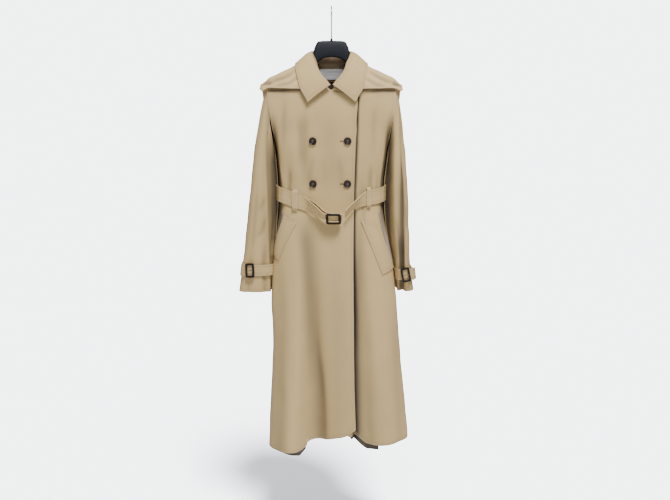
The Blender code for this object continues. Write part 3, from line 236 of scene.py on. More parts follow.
def clothMaterial(name, weave, stitched, roughness, sheen):
    material, tree, shader = newMaterial(name)
    add, calc, blend = (partial(tool, tree) for tool in (addNode, mathNode, blendColours))
    uv = add("UVMap", uv_map="cloth").outputs["UV"]
    turned = add("Mapping", Rotation=(0, 0, radians(weave["ribTurn"])), Vector=uv).outputs["Vector"]
    twill = add("TexWave", wave_type="BANDS", bands_direction="X", Scale=0.314 / weave["rib"], Distortion=0.6,
                Detail=2.0, Detail_Scale=1.4, Vector=turned).outputs["Fac"]
    coords = add("TexCoord").outputs["Object"]
    cloudy = add("TexNoise", Scale=weave["cloudy"], Detail=5.0, Roughness=0.55, Vector=coords).outputs["Fac"]
    fine, stretch = weave["slub"]
    stretched = add("Mapping", Scale=(1.0, stretch, 1.0), Vector=uv).outputs["Vector"]
    slub = add("TexNoise", Scale=fine, Detail=2.0, Roughness=0.6, Vector=stretched).outputs["Fac"]
    rib = calc("MULTIPLY_ADD", slub, 0.5, calc("MULTIPLY", twill, 0.6))
    colour = blend(rib, weave["dark"], weave["light"])
    # painted shade: the fold attribute darkens the colour toward foldShade in the creases' troughs and under other
    # pieces, and toward deepShade where it runs past 1
    fold = add("Attribute", attribute_name="fold").outputs["Fac"]
    trough = calc("MINIMUM", 1.0, calc("MAXIMUM", 0.0, fold))
    colour = blend(calc("MULTIPLY", trough, weave["foldShare"]), colour, weave["foldShade"])
    deep = calc("MINIMUM", 0.95, calc("MAXIMUM", 0.0, calc("SUBTRACT", fold, 1.0)))
    colour = blend(deep, colour, weave["deepShade"])
    tone = calc("MULTIPLY_ADD", cloudy, weave["cloudyTone"], 1.0 - weave["cloudyTone"] / 2)
    colour = add("HueSaturation", Value=tone, Color=colour).outputs["Color"]
    height = calc("MULTIPLY", rib, weave["ribHeight"])
    if stitched:
        edge, along = (add("Attribute", attribute_name=key).outputs["Fac"] for key in ("edge", "along"))
        rows, furrow = 0.0, 0.0
        for place in weave["topstitch"]:
            rows = calc("MAXIMUM", rows, band(tree, edge, place, weave["threadHalf"]))
            furrow = calc("MAXIMUM", furrow, band(tree, edge, place, weave["furrowHalf"]))
        dash = band(tree, calc("FRACT", calc("DIVIDE", along, weave["stitch"])), *weave["dash"])
        thread = calc("MULTIPLY", rows, dash)
        # painted highlight: a lighter band along each turned edge, where it catches the light
        rimLit = band(tree, edge, 0.0, weave["wornHalf"])
        colour = blend(calc("MULTIPLY", furrow, weave["furrowShare"]), colour, weave["furrowShade"])
        colour = blend(calc("MULTIPLY", rimLit, weave["wornShare"]), colour, weave["wornEdge"])
        colour = blend(calc("MULTIPLY", thread, weave["threadShare"]), colour, weave["thread"])
        height = calc("SUBTRACT", height, calc("MULTIPLY", furrow, weave["furrowDepth"]))
        height = calc("ADD", height, calc("MULTIPLY", thread, weave["threadHeight"]))
    gloss = weave["cloudyGloss"]
    finishShader(tree, shader, height, {
        "Base Color": colour, "Roughness": calc("MULTIPLY_ADD", cloudy, gloss, roughness - gloss / 2),
        "Sheen Weight": sheen, "Sheen Roughness": 0.45, "Sheen Tint": weave["light"],
        "Specular IOR Level": 0.30})
    return material


gabardine = clothMaterial("gabardine", cloth, False, 0.80, 0.08)
gabardineStitched = clothMaterial("gabardineStitched", cloth, True, 0.80, 0.08)
# a lit copy of the cloth: lighter colours that paint the light falling on the cape's top
toplitCloth = dict(cloth, light=(0.645, 0.474, 0.234, 1), dark=(0.520, 0.374, 0.174, 1))
gabardineAired = clothMaterial("gabardineAired", toplitCloth, True, 0.80, 0.08)    # the cape, painted lighter because its top faces the light from above
lining = dict(cloth, light=(0.088, 0.066, 0.048, 1), dark=(0.046, 0.035, 0.026, 1), rib=0.0016, foldShare=0.2)
neckLining = dict(lining, light=(0.235, 0.160, 0.092, 1), dark=(0.135, 0.090, 0.050, 1))
pocketing = dict(cloth, light=(0.350, 0.295, 0.240, 1), dark=(0.250, 0.210, 0.170, 1), rib=0.0020)
labelWeave = dict(cloth, light=(0.97, 0.97, 0.98, 1), dark=(0.88, 0.88, 0.92, 1), rib=0.0008,
                  furrowShade=(0.5, 0.5, 0.55, 1), thread=(0.86, 0.86, 0.88, 1), topstitch=(0.0014,))
liningTwill = clothMaterial("liningTwill", lining, False, 0.50, 0.10)
neckTwill = clothMaterial("neckTwill", neckLining, False, 0.50, 0.10)
pocketTwill = clothMaterial("pocketTwill", pocketing, False, 0.70, 0.10)
labelSatin = clothMaterial("labelSatin", labelWeave, True, 0.42, 0.20)


def hardMaterial(name, base, second, grain, roughness, grainHeight, gloss=0.5, metallic=0.0,
                 stretch=(1, 1, 1)):
    material, tree, shader = newMaterial(name)
    add, calc, blend = (partial(tool, tree) for tool in (addNode, mathNode, blendColours))
    place = add("Mapping", Scale=stretch, Vector=add("TexCoord").outputs["Object"]).outputs["Vector"]
    fine = add("TexNoise", Scale=grain, Detail=6.0, Roughness=0.6, Vector=place).outputs["Fac"]
    smear = add("TexNoise", Scale=grain * 0.08, Detail=3.0, Roughness=0.5, Vector=place).outputs["Fac"]
    share = calc("MULTIPLY_ADD", fine, 0.6, calc("MULTIPLY_ADD", smear, 0.9, -0.28))
    finishShader(tree, shader, calc("MULTIPLY", fine, grainHeight), {
        "Base Color": blend(share, base, second), "Metallic": metallic, "Specular IOR Level": gloss,
        "Roughness": calc("MULTIPLY_ADD", smear, 0.16, roughness - 0.08)})
    return material


buttonHorn = hardMaterial("buttonHorn", (0.0045, 0.0026, 0.0026, 1), (0.016, 0.009, 0.008, 1), 160.0, 0.32,
                          0.00004, 0.38)
buckleLeather = hardMaterial("buckleLeather", (0.0036, 0.0022, 0.0018, 1), (0.010, 0.006, 0.0045, 1), 1400.0,
                             0.46, 0.00010, 0.26)
hangerPlastic = hardMaterial("hangerPlastic", (0.0065, 0.0086, 0.0130, 1), (0.0120, 0.0150, 0.0215, 1), 900.0,
                             0.60, 0.00003, 0.22)
hookChrome = hardMaterial("hookChrome", (0.30, 0.30, 0.31, 1), (0.46, 0.46, 0.47, 1), 260.0, 0.20, 0.00001,
                          metallic=1.0, stretch=(1, 1, 0.1))
darkThread = hardMaterial("darkThread", (0.115, 0.075, 0.045, 1), (0.200, 0.135, 0.080, 1), 2600.0, 0.80,
                          0.00008)
prongSteel = hardMaterial("prongSteel", (0.030, 0.018, 0.014, 1), (0.060, 0.040, 0.030, 1), 700.0, 0.35,
                          0.00003, metallic=0.3)
print("materials made")

mergeDistance = 0.00002


def mergedCopy(node):
    copy = bmesh.new()
    copy.from_mesh(nodes[node].data)
    bmesh.ops.remove_doubles(copy, verts=copy.verts, dist=mergeDistance)
    return copy


def faceGroups(faces):
    # faces that hang together, as lists
    seen, groups = set(), []
    for face in faces:
        if face.index in seen:
            continue
        group, waiting = [], [face]
        seen.add(face.index)
        while waiting:
            at = waiting.pop()
            group.append(at)
            for edge in at.edges:
                for other in edge.link_faces:
                    if other.index not in seen:
                        seen.add(other.index)
                        waiting.append(other)
        groups.append(group)
    return groups


def outerFaces(node, middle, wall, narrow):
    # the node's outer face, without its rims and its inner face
    source = mergedCopy(node)
    source.normal_update()
    tree = BVHTree.FromBMesh(source)
    rims = []
    for face in source.faces:
        start = face.calc_center_median() - face.normal * mergeDistance
        across = tree.ray_cast(start, -face.normal, wall * 1.8)[3]
        if across is None or min(edge.calc_length() for edge in face.edges) < wall * narrow:
            rims.append(face)
    bmesh.ops.delete(source, geom=rims, context="FACES")
    source.faces.ensure_lookup_table()
    source.faces.index_update()
    groups = faceGroups(source.faces)
    groups.sort(key=lambda group: sum(face.calc_area() for face in group), reverse=True)

    def outwardness(group):
        total = 0.0
        for face in group:
            centre = face.calc_center_median()
            total += (centre - middle(centre)).normalized().dot(face.normal) * face.calc_area()
        return total

    kept = set(max(groups[:2], key=outwardness))
    bmesh.ops.delete(source, geom=[face for face in source.faces if face not in kept], context="FACES")
    loose = [vert for vert in source.verts if not vert.link_faces]
    bmesh.ops.delete(source, geom=loose, context="VERTS")
    return source


def fairSheet(sheet, rounds, cornerTurn):
    # smooths the sheet's points over their neighbours, its edges along themselves, and holds its corners
    sheet.verts.ensure_lookup_table()
    sheet.verts.index_update()
    count = len(sheet.verts)
    points = np.array([vert.co for vert in sheet.verts])
    pairs = np.array([[vert.index for vert in edge.verts] for edge in sheet.edges])
    onEdge = np.array([len(edge.link_faces) == 1 for edge in sheet.edges])
    rimPoint = np.zeros(count, bool)
    rimPoint[pairs[onEdge]] = True
    use = onEdge | ~rimPoint[pairs].all(axis=1)
    a, b = pairs[use].T
    toA = onEdge[use] | ~rimPoint[a]          # a rim point listens only to its neighbours along the rim
    toB = onEdge[use] | ~rimPoint[b]
    weight = np.bincount(a[toA], minlength=count) + np.bincount(b[toB], minlength=count)
    weight = np.maximum(weight, 1)[:, None]
    held = np.zeros(count, bool)
    for vert in sheet.verts:
        if rimPoint[vert.index]:
            rims = [edge for edge in vert.link_edges if len(edge.link_faces) == 1]
            ends = [edge.other_vert(vert).co - vert.co for edge in rims]
            held[vert.index] = len(ends) != 2 or ends[0].angle(-ends[1], 0) > radians(cornerTurn)
    for step in range(rounds):
        for share in (0.55, -0.57):           # out and back, so that the sheet doesn't shrink
            total = np.zeros((count, 3))
            for axis in range(3):
                total[:, axis] = (np.bincount(a[toA], points[b[toA], axis], count)
                                  + np.bincount(b[toB], points[a[toB], axis], count))
            change = (total / weight - points) * share
            change[held] = 0
            points = points + change
    for vert, point in zip(sheet.verts, points):
        vert.co = point


def splitSheet(sheet, times):
    for _ in range(times):
        bmesh.ops.subdivide_edges(sheet, edges=sheet.edges[:], cuts=1, use_grid_fill=True)


def rimChains(sheet):
    # the sheet's edges as lines of points
    rims = [edge for edge in sheet.edges if len(edge.link_faces) == 1]
    left = set(rims)
    chains = []
    for edge in rims:
        if edge not in left:
            continue
        left.discard(edge)
        start, at = edge.verts
        line = [start, at]
        while at is not start:
            follow = [other for other in at.link_edges if other in left]
            if not follow:
                break
            left.discard(follow[0])
            at = follow[0].other_vert(at)
            line.append(at)
        chains.append([vert.co.copy() for vert in line])
    return chains


def rimDistances(sheet, chains):
    # each point's distance from the nearest rim, and how far along the rim that is
    spots = []
    for chain in chains:
        run = 0.0
        for start, end in zip(chain, chain[1:]):
            length = (end - start).length
            pieces = max(1, int(length / 0.0015))
            for k in range(pieces):
                spots.append((start.lerp(end, k / pieces), run + length * k / pieces))
            run += length
    tree = KDTree(len(spots))
    for k, (spot, run) in enumerate(spots):
        tree.insert(spot, k)
    tree.balance()
    edges, alongs = [], []
    for vert in sheet.verts:
        spot, k, distance = tree.find(vert.co)
        edges.append(distance)
        alongs.append(spots[k][1])
    return edges, alongs


def ramp(value, start, end):
    t = min(1.0, max(0.0, (value - start) / (end - start)))
    return t * t * (3 - 2 * t)


def crease(through, width, depth, dark=None, front=None, fadeIn=0.35, fadeOut=0.35, lean=0.0):
    # a trough, or a ridge where depth is below 0, through points (x, z); front limits it to one side
    # dark is the shade painted along it, which goes into the sheet's fold attribute
    if dark is None:
        dark = max(0.0, depth) / 0.009    # so a trough of 9 mm takes the whole fold shade
    return {"through": through, "width": width, "depth": depth, "dark": dark, "front": front,
            "fadeIn": fadeIn, "fadeOut": fadeOut, "lean": lean}


def shade(through, width, dark, front=True, **rest):
    # a darker strip alone, where other pieces keep the light off
    return crease(through, width, 0.0, dark, front, **rest)


def creaseShare(line, x, z):
    # share of one crease at x and z, which fades at the line's ends
    best, total = None, 0.0
    for (x0, z0), (x1, z1) in zip(line["through"], line["through"][1:]):
        dx, dz = x1 - x0, z1 - z0
        length = (dx * dx + dz * dz) ** 0.5
        t = ((x - x0) * dx + (z - z0) * dz) / (length * length)
        t = min(1.0, max(0.0, t))
        offX, offZ = x - x0 - t * dx, z - z0 - t * dz
        off = (offX * offX + offZ * offZ) ** 0.5
        if best is None or off < best[0]:
            best = (off, total + t * length, 1 if offX * dz - offZ * dx > 0 else -1)
        total += length
    off, along, side = best
    width = line["width"] * (1.0 + line["lean"] * side)
    if off > 3 * width:
        return 0.0
    fade = min(ramp(along, 0.0, total * line["fadeIn"]), ramp(total - along, 0.0, total * line["fadeOut"]))
    return fade * exp(-(off / width) ** 2)


def addObject(name, data):
    piece = bpy.data.objects.new(name, data)
    bpy.context.scene.collection.objects.link(piece)
    return piece


def selectNone():
    bpy.ops.object.select_all(action="DESELECT")


def pick(piece):
    # selects this piece alone
    selectNone()
    bpy.context.view_layer.objects.active = piece
    piece.select_set(True)


def smoothBelow(angle):
    bpy.ops.object.shade_smooth_by_angle(angle=radians(angle))


def discard(piece):
    bpy.data.objects.remove(piece, do_unlink=True)


def trunkMiddle(point):
    return Vector((point.x * 0.6, 0.0, point.z))


backFrom = 0.004    # y from which a sheet's points are its back


def pressCreases(sheet, settings):
    # moves the points in by the creases' depths and a slight drift, and returns the shade painted at each point by its
    # creases
    sheet.normal_update()
    normals = [vert.normal.copy() for vert in sheet.verts]
    drift = settings.get("drift", 0.0)
    folds = []
    for vert, normal in zip(sheet.verts, normals):
        x, y, z = vert.co
        depth, fold = 0.0, 0.0
        for line in settings.get("creases", []):
            if line["front"] is None or line["front"] == (y <= backFrom):
                share = creaseShare(line, x, z)
                depth += share * line["depth"]
                fold += share * line["dark"]
        folds.append(fold)
        depth += settings.get("inset", 0.0)
        depth += drift * (sin(31 * z + 17 * x + 4 * sin(23 * x + 3)) * sin(43 * x - 11 * z + 1.3)
                          + 0.5 * sin(71 * z - 37 * x + 20 * y))
        vert.co = vert.co - normal * depth
    return folds


def makeSheet(name, node, settings, material=gabardineStitched, innerMaterial=None):
    wall = settings.get("wall", 0.0016)
    sheet = outerFaces(node, settings.get("middle", trunkMiddle), wall, settings.get("narrow", 1.35))
    splitSheet(sheet, settings.get("splits", 2))
    fairSheet(sheet, settings["fair"], settings.get("cornerTurn", 40))
    if "reshape" in settings:
        for vert in sheet.verts:
            vert.co = settings["reshape"](vert.co)
    edges, alongs = rimDistances(sheet, rimChains(sheet))
    folds = pressCreases(sheet, settings)
    layer = sheet.loops.layers.uv.new("cloth")
    flatten = settings.get("flatten", lambda point: (point.x, point.z))
    for face in sheet.faces:
        for loop in face.loops:
            loop[layer].uv = flatten(loop.vert.co)
        face.smooth = True
    mesh = bpy.data.meshes.new(name)
    sheet.to_mesh(mesh)
    sheet.free()
    for key, values in (("edge", edges), ("along", alongs), ("fold", folds)):
        mesh.attributes.new(key, "FLOAT", "POINT").data.foreach_set("value", values)
    piece = addObject(name, mesh)
    mesh.materials.append(material)
    thick = piece.modifiers.new("wall", "SOLIDIFY")
    thick.thickness, thick.offset = settings.get("shell", wall * 0.9), -1
    thick.use_even_offset = False
    if innerMaterial:
        mesh.materials.append(innerMaterial)
        thick.material_offset, thick.material_offset_rim = 1, 0
    pick(piece)
    bpy.ops.object.modifier_apply(modifier="wall")
    smoothBelow(50)
    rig.replaces(piece, node)
    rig.ride(piece, "root")
    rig.slot(piece, settings.get("slot", "gabardine"))
    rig.sheet(piece, flat=settings["flat"], held="hung", rests_on=settings["restsOn"],
             area=settings.get("area"))


panels = ["front_right_panel", "front_left_panel", "back_panel"]
fronts = {
    "restsOn": ["hanger_body"], "fair": 16, "drift": 0.0006,
    "creases": [
        # short pulls above and below the belt, where it gathers the waist
        crease([(-0.128, -0.47), (-0.131, -0.53), (-0.135, -0.6)], 0.0065, 0.0044),
        crease([(-0.15, -0.5), (-0.148, -0.55), (-0.15, -0.62)], 0.0055, 0.0022),
        crease([(0.12, -0.46), (0.117, -0.53), (0.116, -0.6)], 0.0065, 0.0036),
        crease([(0.096, -0.52), (0.094, -0.57), (0.1, -0.66)], 0.006, 0.0028),
        crease([(0.142, -0.49), (0.14, -0.54), (0.143, -0.6)], 0.0055, 0.0024),
        crease([(-0.098, -0.31), (-0.094, -0.4), (-0.092, -0.5)], 0.01, 0.0026),
        crease([(-0.055, -0.43), (-0.066, -0.49), (-0.078, -0.55)], 0.0085, 0.002),
        crease([(-0.02, -0.42), (-0.012, -0.5), (-0.01, -0.57)], 0.01, -0.0016),
        crease([(0.02, -0.43), (0.028, -0.5), (0.03, -0.58)], 0.009, 0.0016),
        crease([(0.13, -0.27), (0.126, -0.36), (0.128, -0.45)], 0.01, 0.002),
        crease([(-0.14, -0.26), (-0.146, -0.34), (-0.15, -0.44)], 0.008, 0.0022),
        # the sides, which fall in behind the fronts at the waist, and the edge that stands before them
        crease([(-0.183, -0.3), (-0.174, -0.44), (-0.166, -0.53), (-0.165, -0.6), (-0.173, -0.74)], 0.012,
               0.007, dark=1.05, fadeIn=0.2, fadeOut=0.3),
        crease([(-0.162, -0.44), (-0.15, -0.53), (-0.151, -0.6)], 0.0045, -0.0026),
        crease([(0.184, -0.3), (0.173, -0.44), (0.162, -0.53), (0.162, -0.6), (0.176, -0.72)], 0.012, 0.007,
               dark=1.05, fadeIn=0.2, fadeOut=0.3),
        crease([(0.166, -0.36), (0.154, -0.46), (0.146, -0.54), (0.15, -0.6)], 0.0045, -0.003),
        crease([(-0.178, -0.7), (-0.182, -0.78), (-0.186, -0.88), (-0.19, -1.0)], 0.01, -0.007),
        crease([(-0.084, -0.28), (-0.083, -0.42), (-0.086, -0.55)], 0.011, 0.0036, dark=0.25),
        # the deep valley on the wearer's right, and the long soft folds of the skirt
        crease([(-0.086, -0.6), (-0.068, -0.78), (-0.061, -0.88), (-0.051, -1.04), (-0.039, -1.16),
                (-0.034, -1.42)], 0.021, 0.0056, dark=0.68, lean=0.22, fadeIn=0.14, fadeOut=0.01),
        crease([(-0.148, -0.72), (-0.154, -1.0), (-0.162, -1.42)], 0.018, 0.0014, fadeOut=0.01),
        crease([(-0.104, -0.64), (-0.104, -0.9), (-0.108, -1.42)], 0.014, -0.003, fadeOut=0.01),
        crease([(0.02, -0.66), (0.026, -0.95), (0.034, -1.42)], 0.02, -0.0038, fadeOut=0.01),
        crease([(0.124, -0.74), (0.134, -1.0), (0.146, -1.42)], 0.018, -0.0036, fadeOut=0.01),
        crease([(0.192, -0.86), (0.206, -1.1), (0.222, -1.42)], 0.014, 0.0018, fadeOut=0.01),
        shade([(-0.046, -0.95), (-0.04, -1.035), (-0.028, -1.14), (-0.022, -1.235), (-0.018, -1.42)], 0.0085,
              0.3, fadeOut=0.02),
        shade([(0.018, -0.6), (0.022, -1.0), (0.034, -1.3), (0.036, -1.46)], 0.04, 0.22, fadeOut=0.05),
        shade([(0.13, -1.05), (0.14, -1.3), (0.146, -1.46)], 0.045, 0.15, fadeOut=0.05),
        shade([(-0.01, -0.27), (-0.005, -0.42), (0.0, -0.56)], 0.032, 0.18),
        # what the cape and the collar's points keep in the shade
        shade([(-0.206, -0.247), (-0.12, -0.245), (-0.062, -0.243)], 0.005, 1.05, fadeIn=0.05, fadeOut=0.25),
        shade([(0.066, -0.243), (0.12, -0.245), (0.206, -0.247)], 0.005, 1.05, fadeIn=0.25, fadeOut=0.05),
        shade([(-0.2, -0.252), (-0.11, -0.25)], 0.018, 0.22),
        shade([(0.11, -0.25), (0.2, -0.252)], 0.018, 0.22),
        shade([(-0.004, -0.238), (-0.072, -0.287), (-0.095, -0.24)], 0.0085, 0.4, fadeIn=0.1, fadeOut=0.1),
        shade([(0.006, -0.238), (0.066, -0.28), (0.09, -0.24)], 0.0085, 0.4, fadeIn=0.1, fadeOut=0.1),
    ],
}
overlap = {
    "edge": [(0.075, -0.24), (0.072, -0.39), (0.068, -0.54), (0.066, -0.70), (0.068, -1.08), (0.074, -1.40)],
    "found": (0.0612, 0.0115, 0.235, 0.37),      # x of its free edge at the collar, what it gains, and where
    "wanted": (0.0747, -0.0018, 0.25, 0.38),     # the same where it should run, straight up
    "moved": (0.030, 0.058), "movedDown": (0.36, 0.40),
    "stepX": 0.066, "stepWidth": 0.010, "stepOut": 0.0095, "stepDown": 0.003, "stepFrom": (1.290, 1.325),
    "shortX": (0.040, 0.062), "shortFrom": (1.26, 1.33), "shortBy": 0.020,
}


def besideOverlap(apart, first, last):
    return [(x + apart, z) for x, z in overlap["edge"][first:last]]


def straightOverlap(point):
    # the free edge runs straight up to the collar
    low = -point.z
    if point.y >= 0:
        return point
    found, wanted = (x + change * ramp(low, start, end)
                     for x, change, start, end in (overlap["found"], overlap["wanted"]))
    share = ramp(point.x, *overlap["moved"]) * (1 - ramp(low, *overlap["movedDown"]))
    return Vector((point.x + (wanted - found) * share, point.y, point.z))


def steepStep(point):
    # the hem steps up steeply beside the folded part
    x, y, z = point
    share = exp(-((x + overlap["stepX"]) / overlap["stepWidth"]) ** 2) * ramp(-z, *overlap["stepFrom"])
    return straightOverlap(Vector((x - overlap["stepOut"] * share, y, z - overlap["stepDown"] * share)))


def shortUnderlap(point):
    # what lies under the overlap hangs no lower than it
    share = (1 - ramp(point.x, *overlap["shortX"])) * ramp(-point.z, *overlap["shortFrom"])
    return Vector((point.x, point.y, point.z + overlap["shortBy"] * share))


liftedEdge = [crease(overlap["edge"], 0.009, -0.003, fadeIn=0.05, fadeOut=0.01)]
deepGroove = [
    crease(besideOverlap(0.0032, 0, 5), 0.0038, 0.007, dark=1.9, fadeIn=0.03, fadeOut=0.3),
    crease(besideOverlap(0.0044, 3, 6), 0.0074, 0.009, dark=1.7, fadeIn=0.45, fadeOut=0.01),
    crease(besideOverlap(0.014, 2, 6), 0.015, 0.0045, dark=0.62, fadeIn=0.3, fadeOut=0.01),
]
rightFront = dict(fronts, flat=(0.40, 1.22), area=0.36, creases=fronts["creases"] + liftedEdge,
                  reshape=steepStep)
leftFront = dict(fronts, flat=(0.46, 1.22), area=0.40, creases=fronts["creases"] + deepGroove,
                 reshape=shortUnderlap)
makeSheet("frontRight", "front_right_panel", rightFront, gabardineStitched, liningTwill)
makeSheet("frontLeft", "front_left_panel", leftFront, gabardineStitched, liningTwill)
back = {
    "restsOn": ["hanger_body"], "fair": 16, "drift": 0.0006, "flat": (0.62, 1.24), "area": 0.56,
    "creases": [
        crease([(-0.06, -0.46), (-0.059, -0.55), (-0.063, -0.68)], 0.0075, 0.004),
        crease([(0.066, -0.47), (0.063, -0.55), (0.068, -0.7)], 0.0075, 0.0038),
        crease([(-0.112, -0.48), (-0.108, -0.55), (-0.112, -0.66)], 0.0065, 0.0028),
        crease([(0.116, -0.49), (0.111, -0.55), (0.117, -0.67)], 0.0065, 0.003),
        crease([(-0.02, -0.5), (-0.018, -0.56), (-0.022, -0.66)], 0.006, 0.0022),
        crease([(-0.14, -0.7), (-0.15, -1.0), (-0.16, -1.4)], 0.016, 0.004, fadeOut=0.02),
        crease([(-0.05, -0.66), (-0.052, -1.0), (-0.058, -1.4)], 0.018, 0.0044, fadeOut=0.02),
        crease([(0.056, -0.68), (0.06, -1.0), (0.07, -1.4)], 0.018, 0.0042, fadeOut=0.02),
        crease([(0.15, -0.74), (0.165, -1.05), (0.18, -1.4)], 0.016, 0.0038, fadeOut=0.02),
    ],
}
makeSheet("backPanel", "back_panel", back, gabardine, liningTwill)
print("body panels made")


def sleeveMiddle(hand):
    def middle(point):
        z = point.z
        return Vector((hand * (0.200 + 0.030 * ramp(-z, 0.35, 0.86)), 0.004, z))
    return middle


def roundSleeve(hand):
    def flatten(point):
        middle = sleeveMiddle(hand)(point)
        return (np.arctan2(point.y - middle.y, point.x - middle.x) * 0.055, point.z)
    return flatten


sleeves = {"restsOn": panels, "fair": 12, "drift": 0.0007}
rightCreases = [
    crease([(-0.192, -0.26), (-0.189, -0.44), (-0.184, -0.6), (-0.182, -0.9)], 0.0085, 0.009, dark=0.35,
           front=True, fadeIn=0.15, fadeOut=0.02),
    shade([(-0.18, -0.36), (-0.172, -0.5), (-0.17, -0.64), (-0.176, -0.78)], 0.011, 1.25, front=None),
    shade([(-0.204, -0.27), (-0.204, -0.6), (-0.2, -0.9)], 0.013, 0.22),
    shade([(-0.236, -0.252), (-0.18, -0.25)], 0.006, 0.7, fadeOut=0.05),
    crease([(-0.206, -0.34), (-0.214, -0.5), (-0.22, -0.66)], 0.01, -0.003),
    crease([(-0.222, -0.5), (-0.238, -0.66), (-0.254, -0.78)], 0.007, 0.0026),
    crease([(-0.196, -0.62), (-0.214, -0.67), (-0.24, -0.7)], 0.007, 0.003),
    crease([(-0.2, -0.56), (-0.216, -0.6), (-0.234, -0.61)], 0.006, 0.0024),
    crease([(-0.204, -0.7), (-0.21, -0.78), (-0.206, -0.88)], 0.008, 0.0036, fadeOut=0.02),
    crease([(-0.244, -0.72), (-0.256, -0.8), (-0.262, -0.88)], 0.008, 0.0024, fadeOut=0.02),
]
leftCreases = [
    crease([(0.214, -0.24), (0.215, -0.45), (0.216, -0.66), (0.219, -0.88)], 0.0065, 0.013, dark=0.55,
           front=True, fadeIn=0.12, fadeOut=0.02),
    shade([(0.181, -0.28), (0.175, -0.45), (0.173, -0.6), (0.181, -0.76)], 0.011, 1.2, front=None),
    shade([(0.212, -0.66), (0.214, -0.76), (0.214, -0.9)], 0.007, 0.7, fadeOut=0.02),
    shade([(0.211, -0.42), (0.213, -0.6), (0.216, -0.84)], 0.012, 0.52),
    shade([(0.18, -0.25), (0.236, -0.252)], 0.006, 0.7, fadeIn=0.05),
    crease([(0.196, -0.34), (0.194, -0.52), (0.198, -0.72)], 0.0075, -0.003, front=True),
    crease([(0.224, -0.58), (0.23, -0.64), (0.238, -0.68)], 0.006, 0.0026),
    crease([(0.196, -0.62), (0.204, -0.68), (0.208, -0.76)], 0.006, 0.0026),
    crease([(0.232, -0.7), (0.24, -0.78), (0.248, -0.88)], 0.006, 0.0028, fadeOut=0.02),
]
for hand, side, creases in ((-1, "Right", rightCreases), (1, "Left", leftCreases)):
    settings = dict(sleeves, middle=sleeveMiddle(hand), flatten=roundSleeve(hand), creases=creases,
                    flat=(0.36, 0.62), area=0.19)
    makeSheet("sleeve" + side, "sleeve_" + side.lower(), settings, gabardineStitched, liningTwill)
print("sleeves made")


def hangingTips(point):
    # the cape's tips hang down before the sleeves
    low = sum(by * ramp(abs(point.x), start, end) for by, start, end in cape["tips"])
    return Vector((point.x, point.y, point.z - low * (1 - ramp(point.y, *cape["tipsFront"]))))


cape = {
    "reshape": hangingTips, "tips": ((0.010, 0.185, 0.212), (0.007, 0.205, 0.217)), "tipsFront": (0.0, 0.020),
    "restsOn": panels, "fair": 10, "cornerTurn": 30,
    "drift": 0.0008, "flat": (0.60, 0.40), "area": 0.16, "shell": 0.0022,
    "middle": lambda point: Vector((point.x * 0.8, 0.0, point.z - 0.10)),
    "creases": [
        crease([(-0.1, -0.18), (-0.14, -0.205), (-0.205, -0.226)], 0.0065, 0.005, front=True),
        crease([(-0.09, -0.2), (-0.13, -0.226), (-0.18, -0.236)], 0.0055, 0.004, front=True),
        shade([(-0.004, -0.238), (-0.072, -0.287), (-0.095, -0.24), (-0.084, -0.19)], 0.0085, 0.4, fadeIn=0.1,
              fadeOut=0.1),
        shade([(0.006, -0.238), (0.066, -0.28), (0.09, -0.24), (0.08, -0.19)], 0.0085, 0.4, fadeIn=0.1,
              fadeOut=0.1),
        crease([(-0.175, -0.221), (-0.198, -0.224), (-0.222, -0.228)], 0.006, 0.006, front=True,
               fadeOut=0.02),
        *(crease([(hand * 0.206, -0.206), (hand * 0.209, -0.228), (hand * 0.207, -0.252)], 0.009, -0.003,
                 front=True, fadeIn=0.2, fadeOut=0.02) for hand in (-1, 1)),
        crease([(0.1, -0.18), (0.15, -0.21), (0.205, -0.228)], 0.0065, 0.005, front=True),
        crease([(0.09, -0.205), (0.13, -0.228), (0.17, -0.237)], 0.0055, 0.004, front=True),
        crease([(0.18, -0.22), (0.2, -0.226), (0.222, -0.234)], 0.005, 0.008, front=True, fadeOut=0.02),
        crease([(-0.07, -0.2), (-0.08, -0.3), (-0.085, -0.44)], 0.016, 0.003, front=False),
        crease([(0.07, -0.2), (0.085, -0.3), (0.09, -0.44)], 0.016, 0.003, front=False),
        *(crease([(hand * 0.15, -0.26), (hand * 0.16, -0.33), (hand * 0.165, -0.42)], 0.012, 0.0024,
                 front=False) for hand in (-1, 1)),
    ],
}
makeSheet("shoulderCape", "shoulder_cape", cape, gabardineAired)

collar = {
    "rollBy": 0.005, "rollFrom": (-0.165, -0.130), "rollIn": (0.010, 0.040), "rollOut": (0.070, 0.100),
    "restsOn": ["collar_stand"], "splits": 3, "fair": 14, "cornerTurn": 30, "drift": 0.0004,
    "flat": (0.56, 0.10), "area": 0.036,
    "middle": lambda point: Vector((point.x * 0.3, point.y * 0.3, point.z - 0.20)),
}


def openRoll(point):
    # the collar stands wider at the neck points, where it rolls over
    out = abs(point.x)
    share = ramp(point.z, *collar["rollFrom"]) * (1 - ramp(out, *collar["rollOut"]))
    share *= ramp(out, *collar["rollIn"])
    by = collar["rollBy"] if point.x > 0 else -collar["rollBy"]
    return Vector((point.x + by * share, point.y, point.z))


makeSheet("collarFall", "collar_fall", dict(collar, reshape=openRoll))
stand = {
    "reshape": openRoll, "restsOn": panels, "splits": 3, "fair": 6, "flat": (0.42, 0.027),
    "middle": lambda point: Vector((0, 0, point.z)),
}
makeSheet("collarStand", "collar_stand", stand, gabardine, neckTwill)
print("cape and collar made")

belt = {
    "wall": 0.0024, "shell": 0.0022, "splits": 3,
    "gatherX": 0.004, "gatherReach": (0.012, 0.050), "gatherFrom": (-0.642, -0.612), "raised": 0.008,
}


def raiseAtBuckle(point):
    # the belt's lower edge comes up where the buckle gathers it
    near = 1 - ramp(abs(point.x - belt["gatherX"]), *belt["gatherReach"])
    low = 1 - ramp(point.z, *belt["gatherFrom"])
    return Vector((point.x, point.y, point.z + (belt["raised"] * near * low if point.y < 0 else 0.0)))


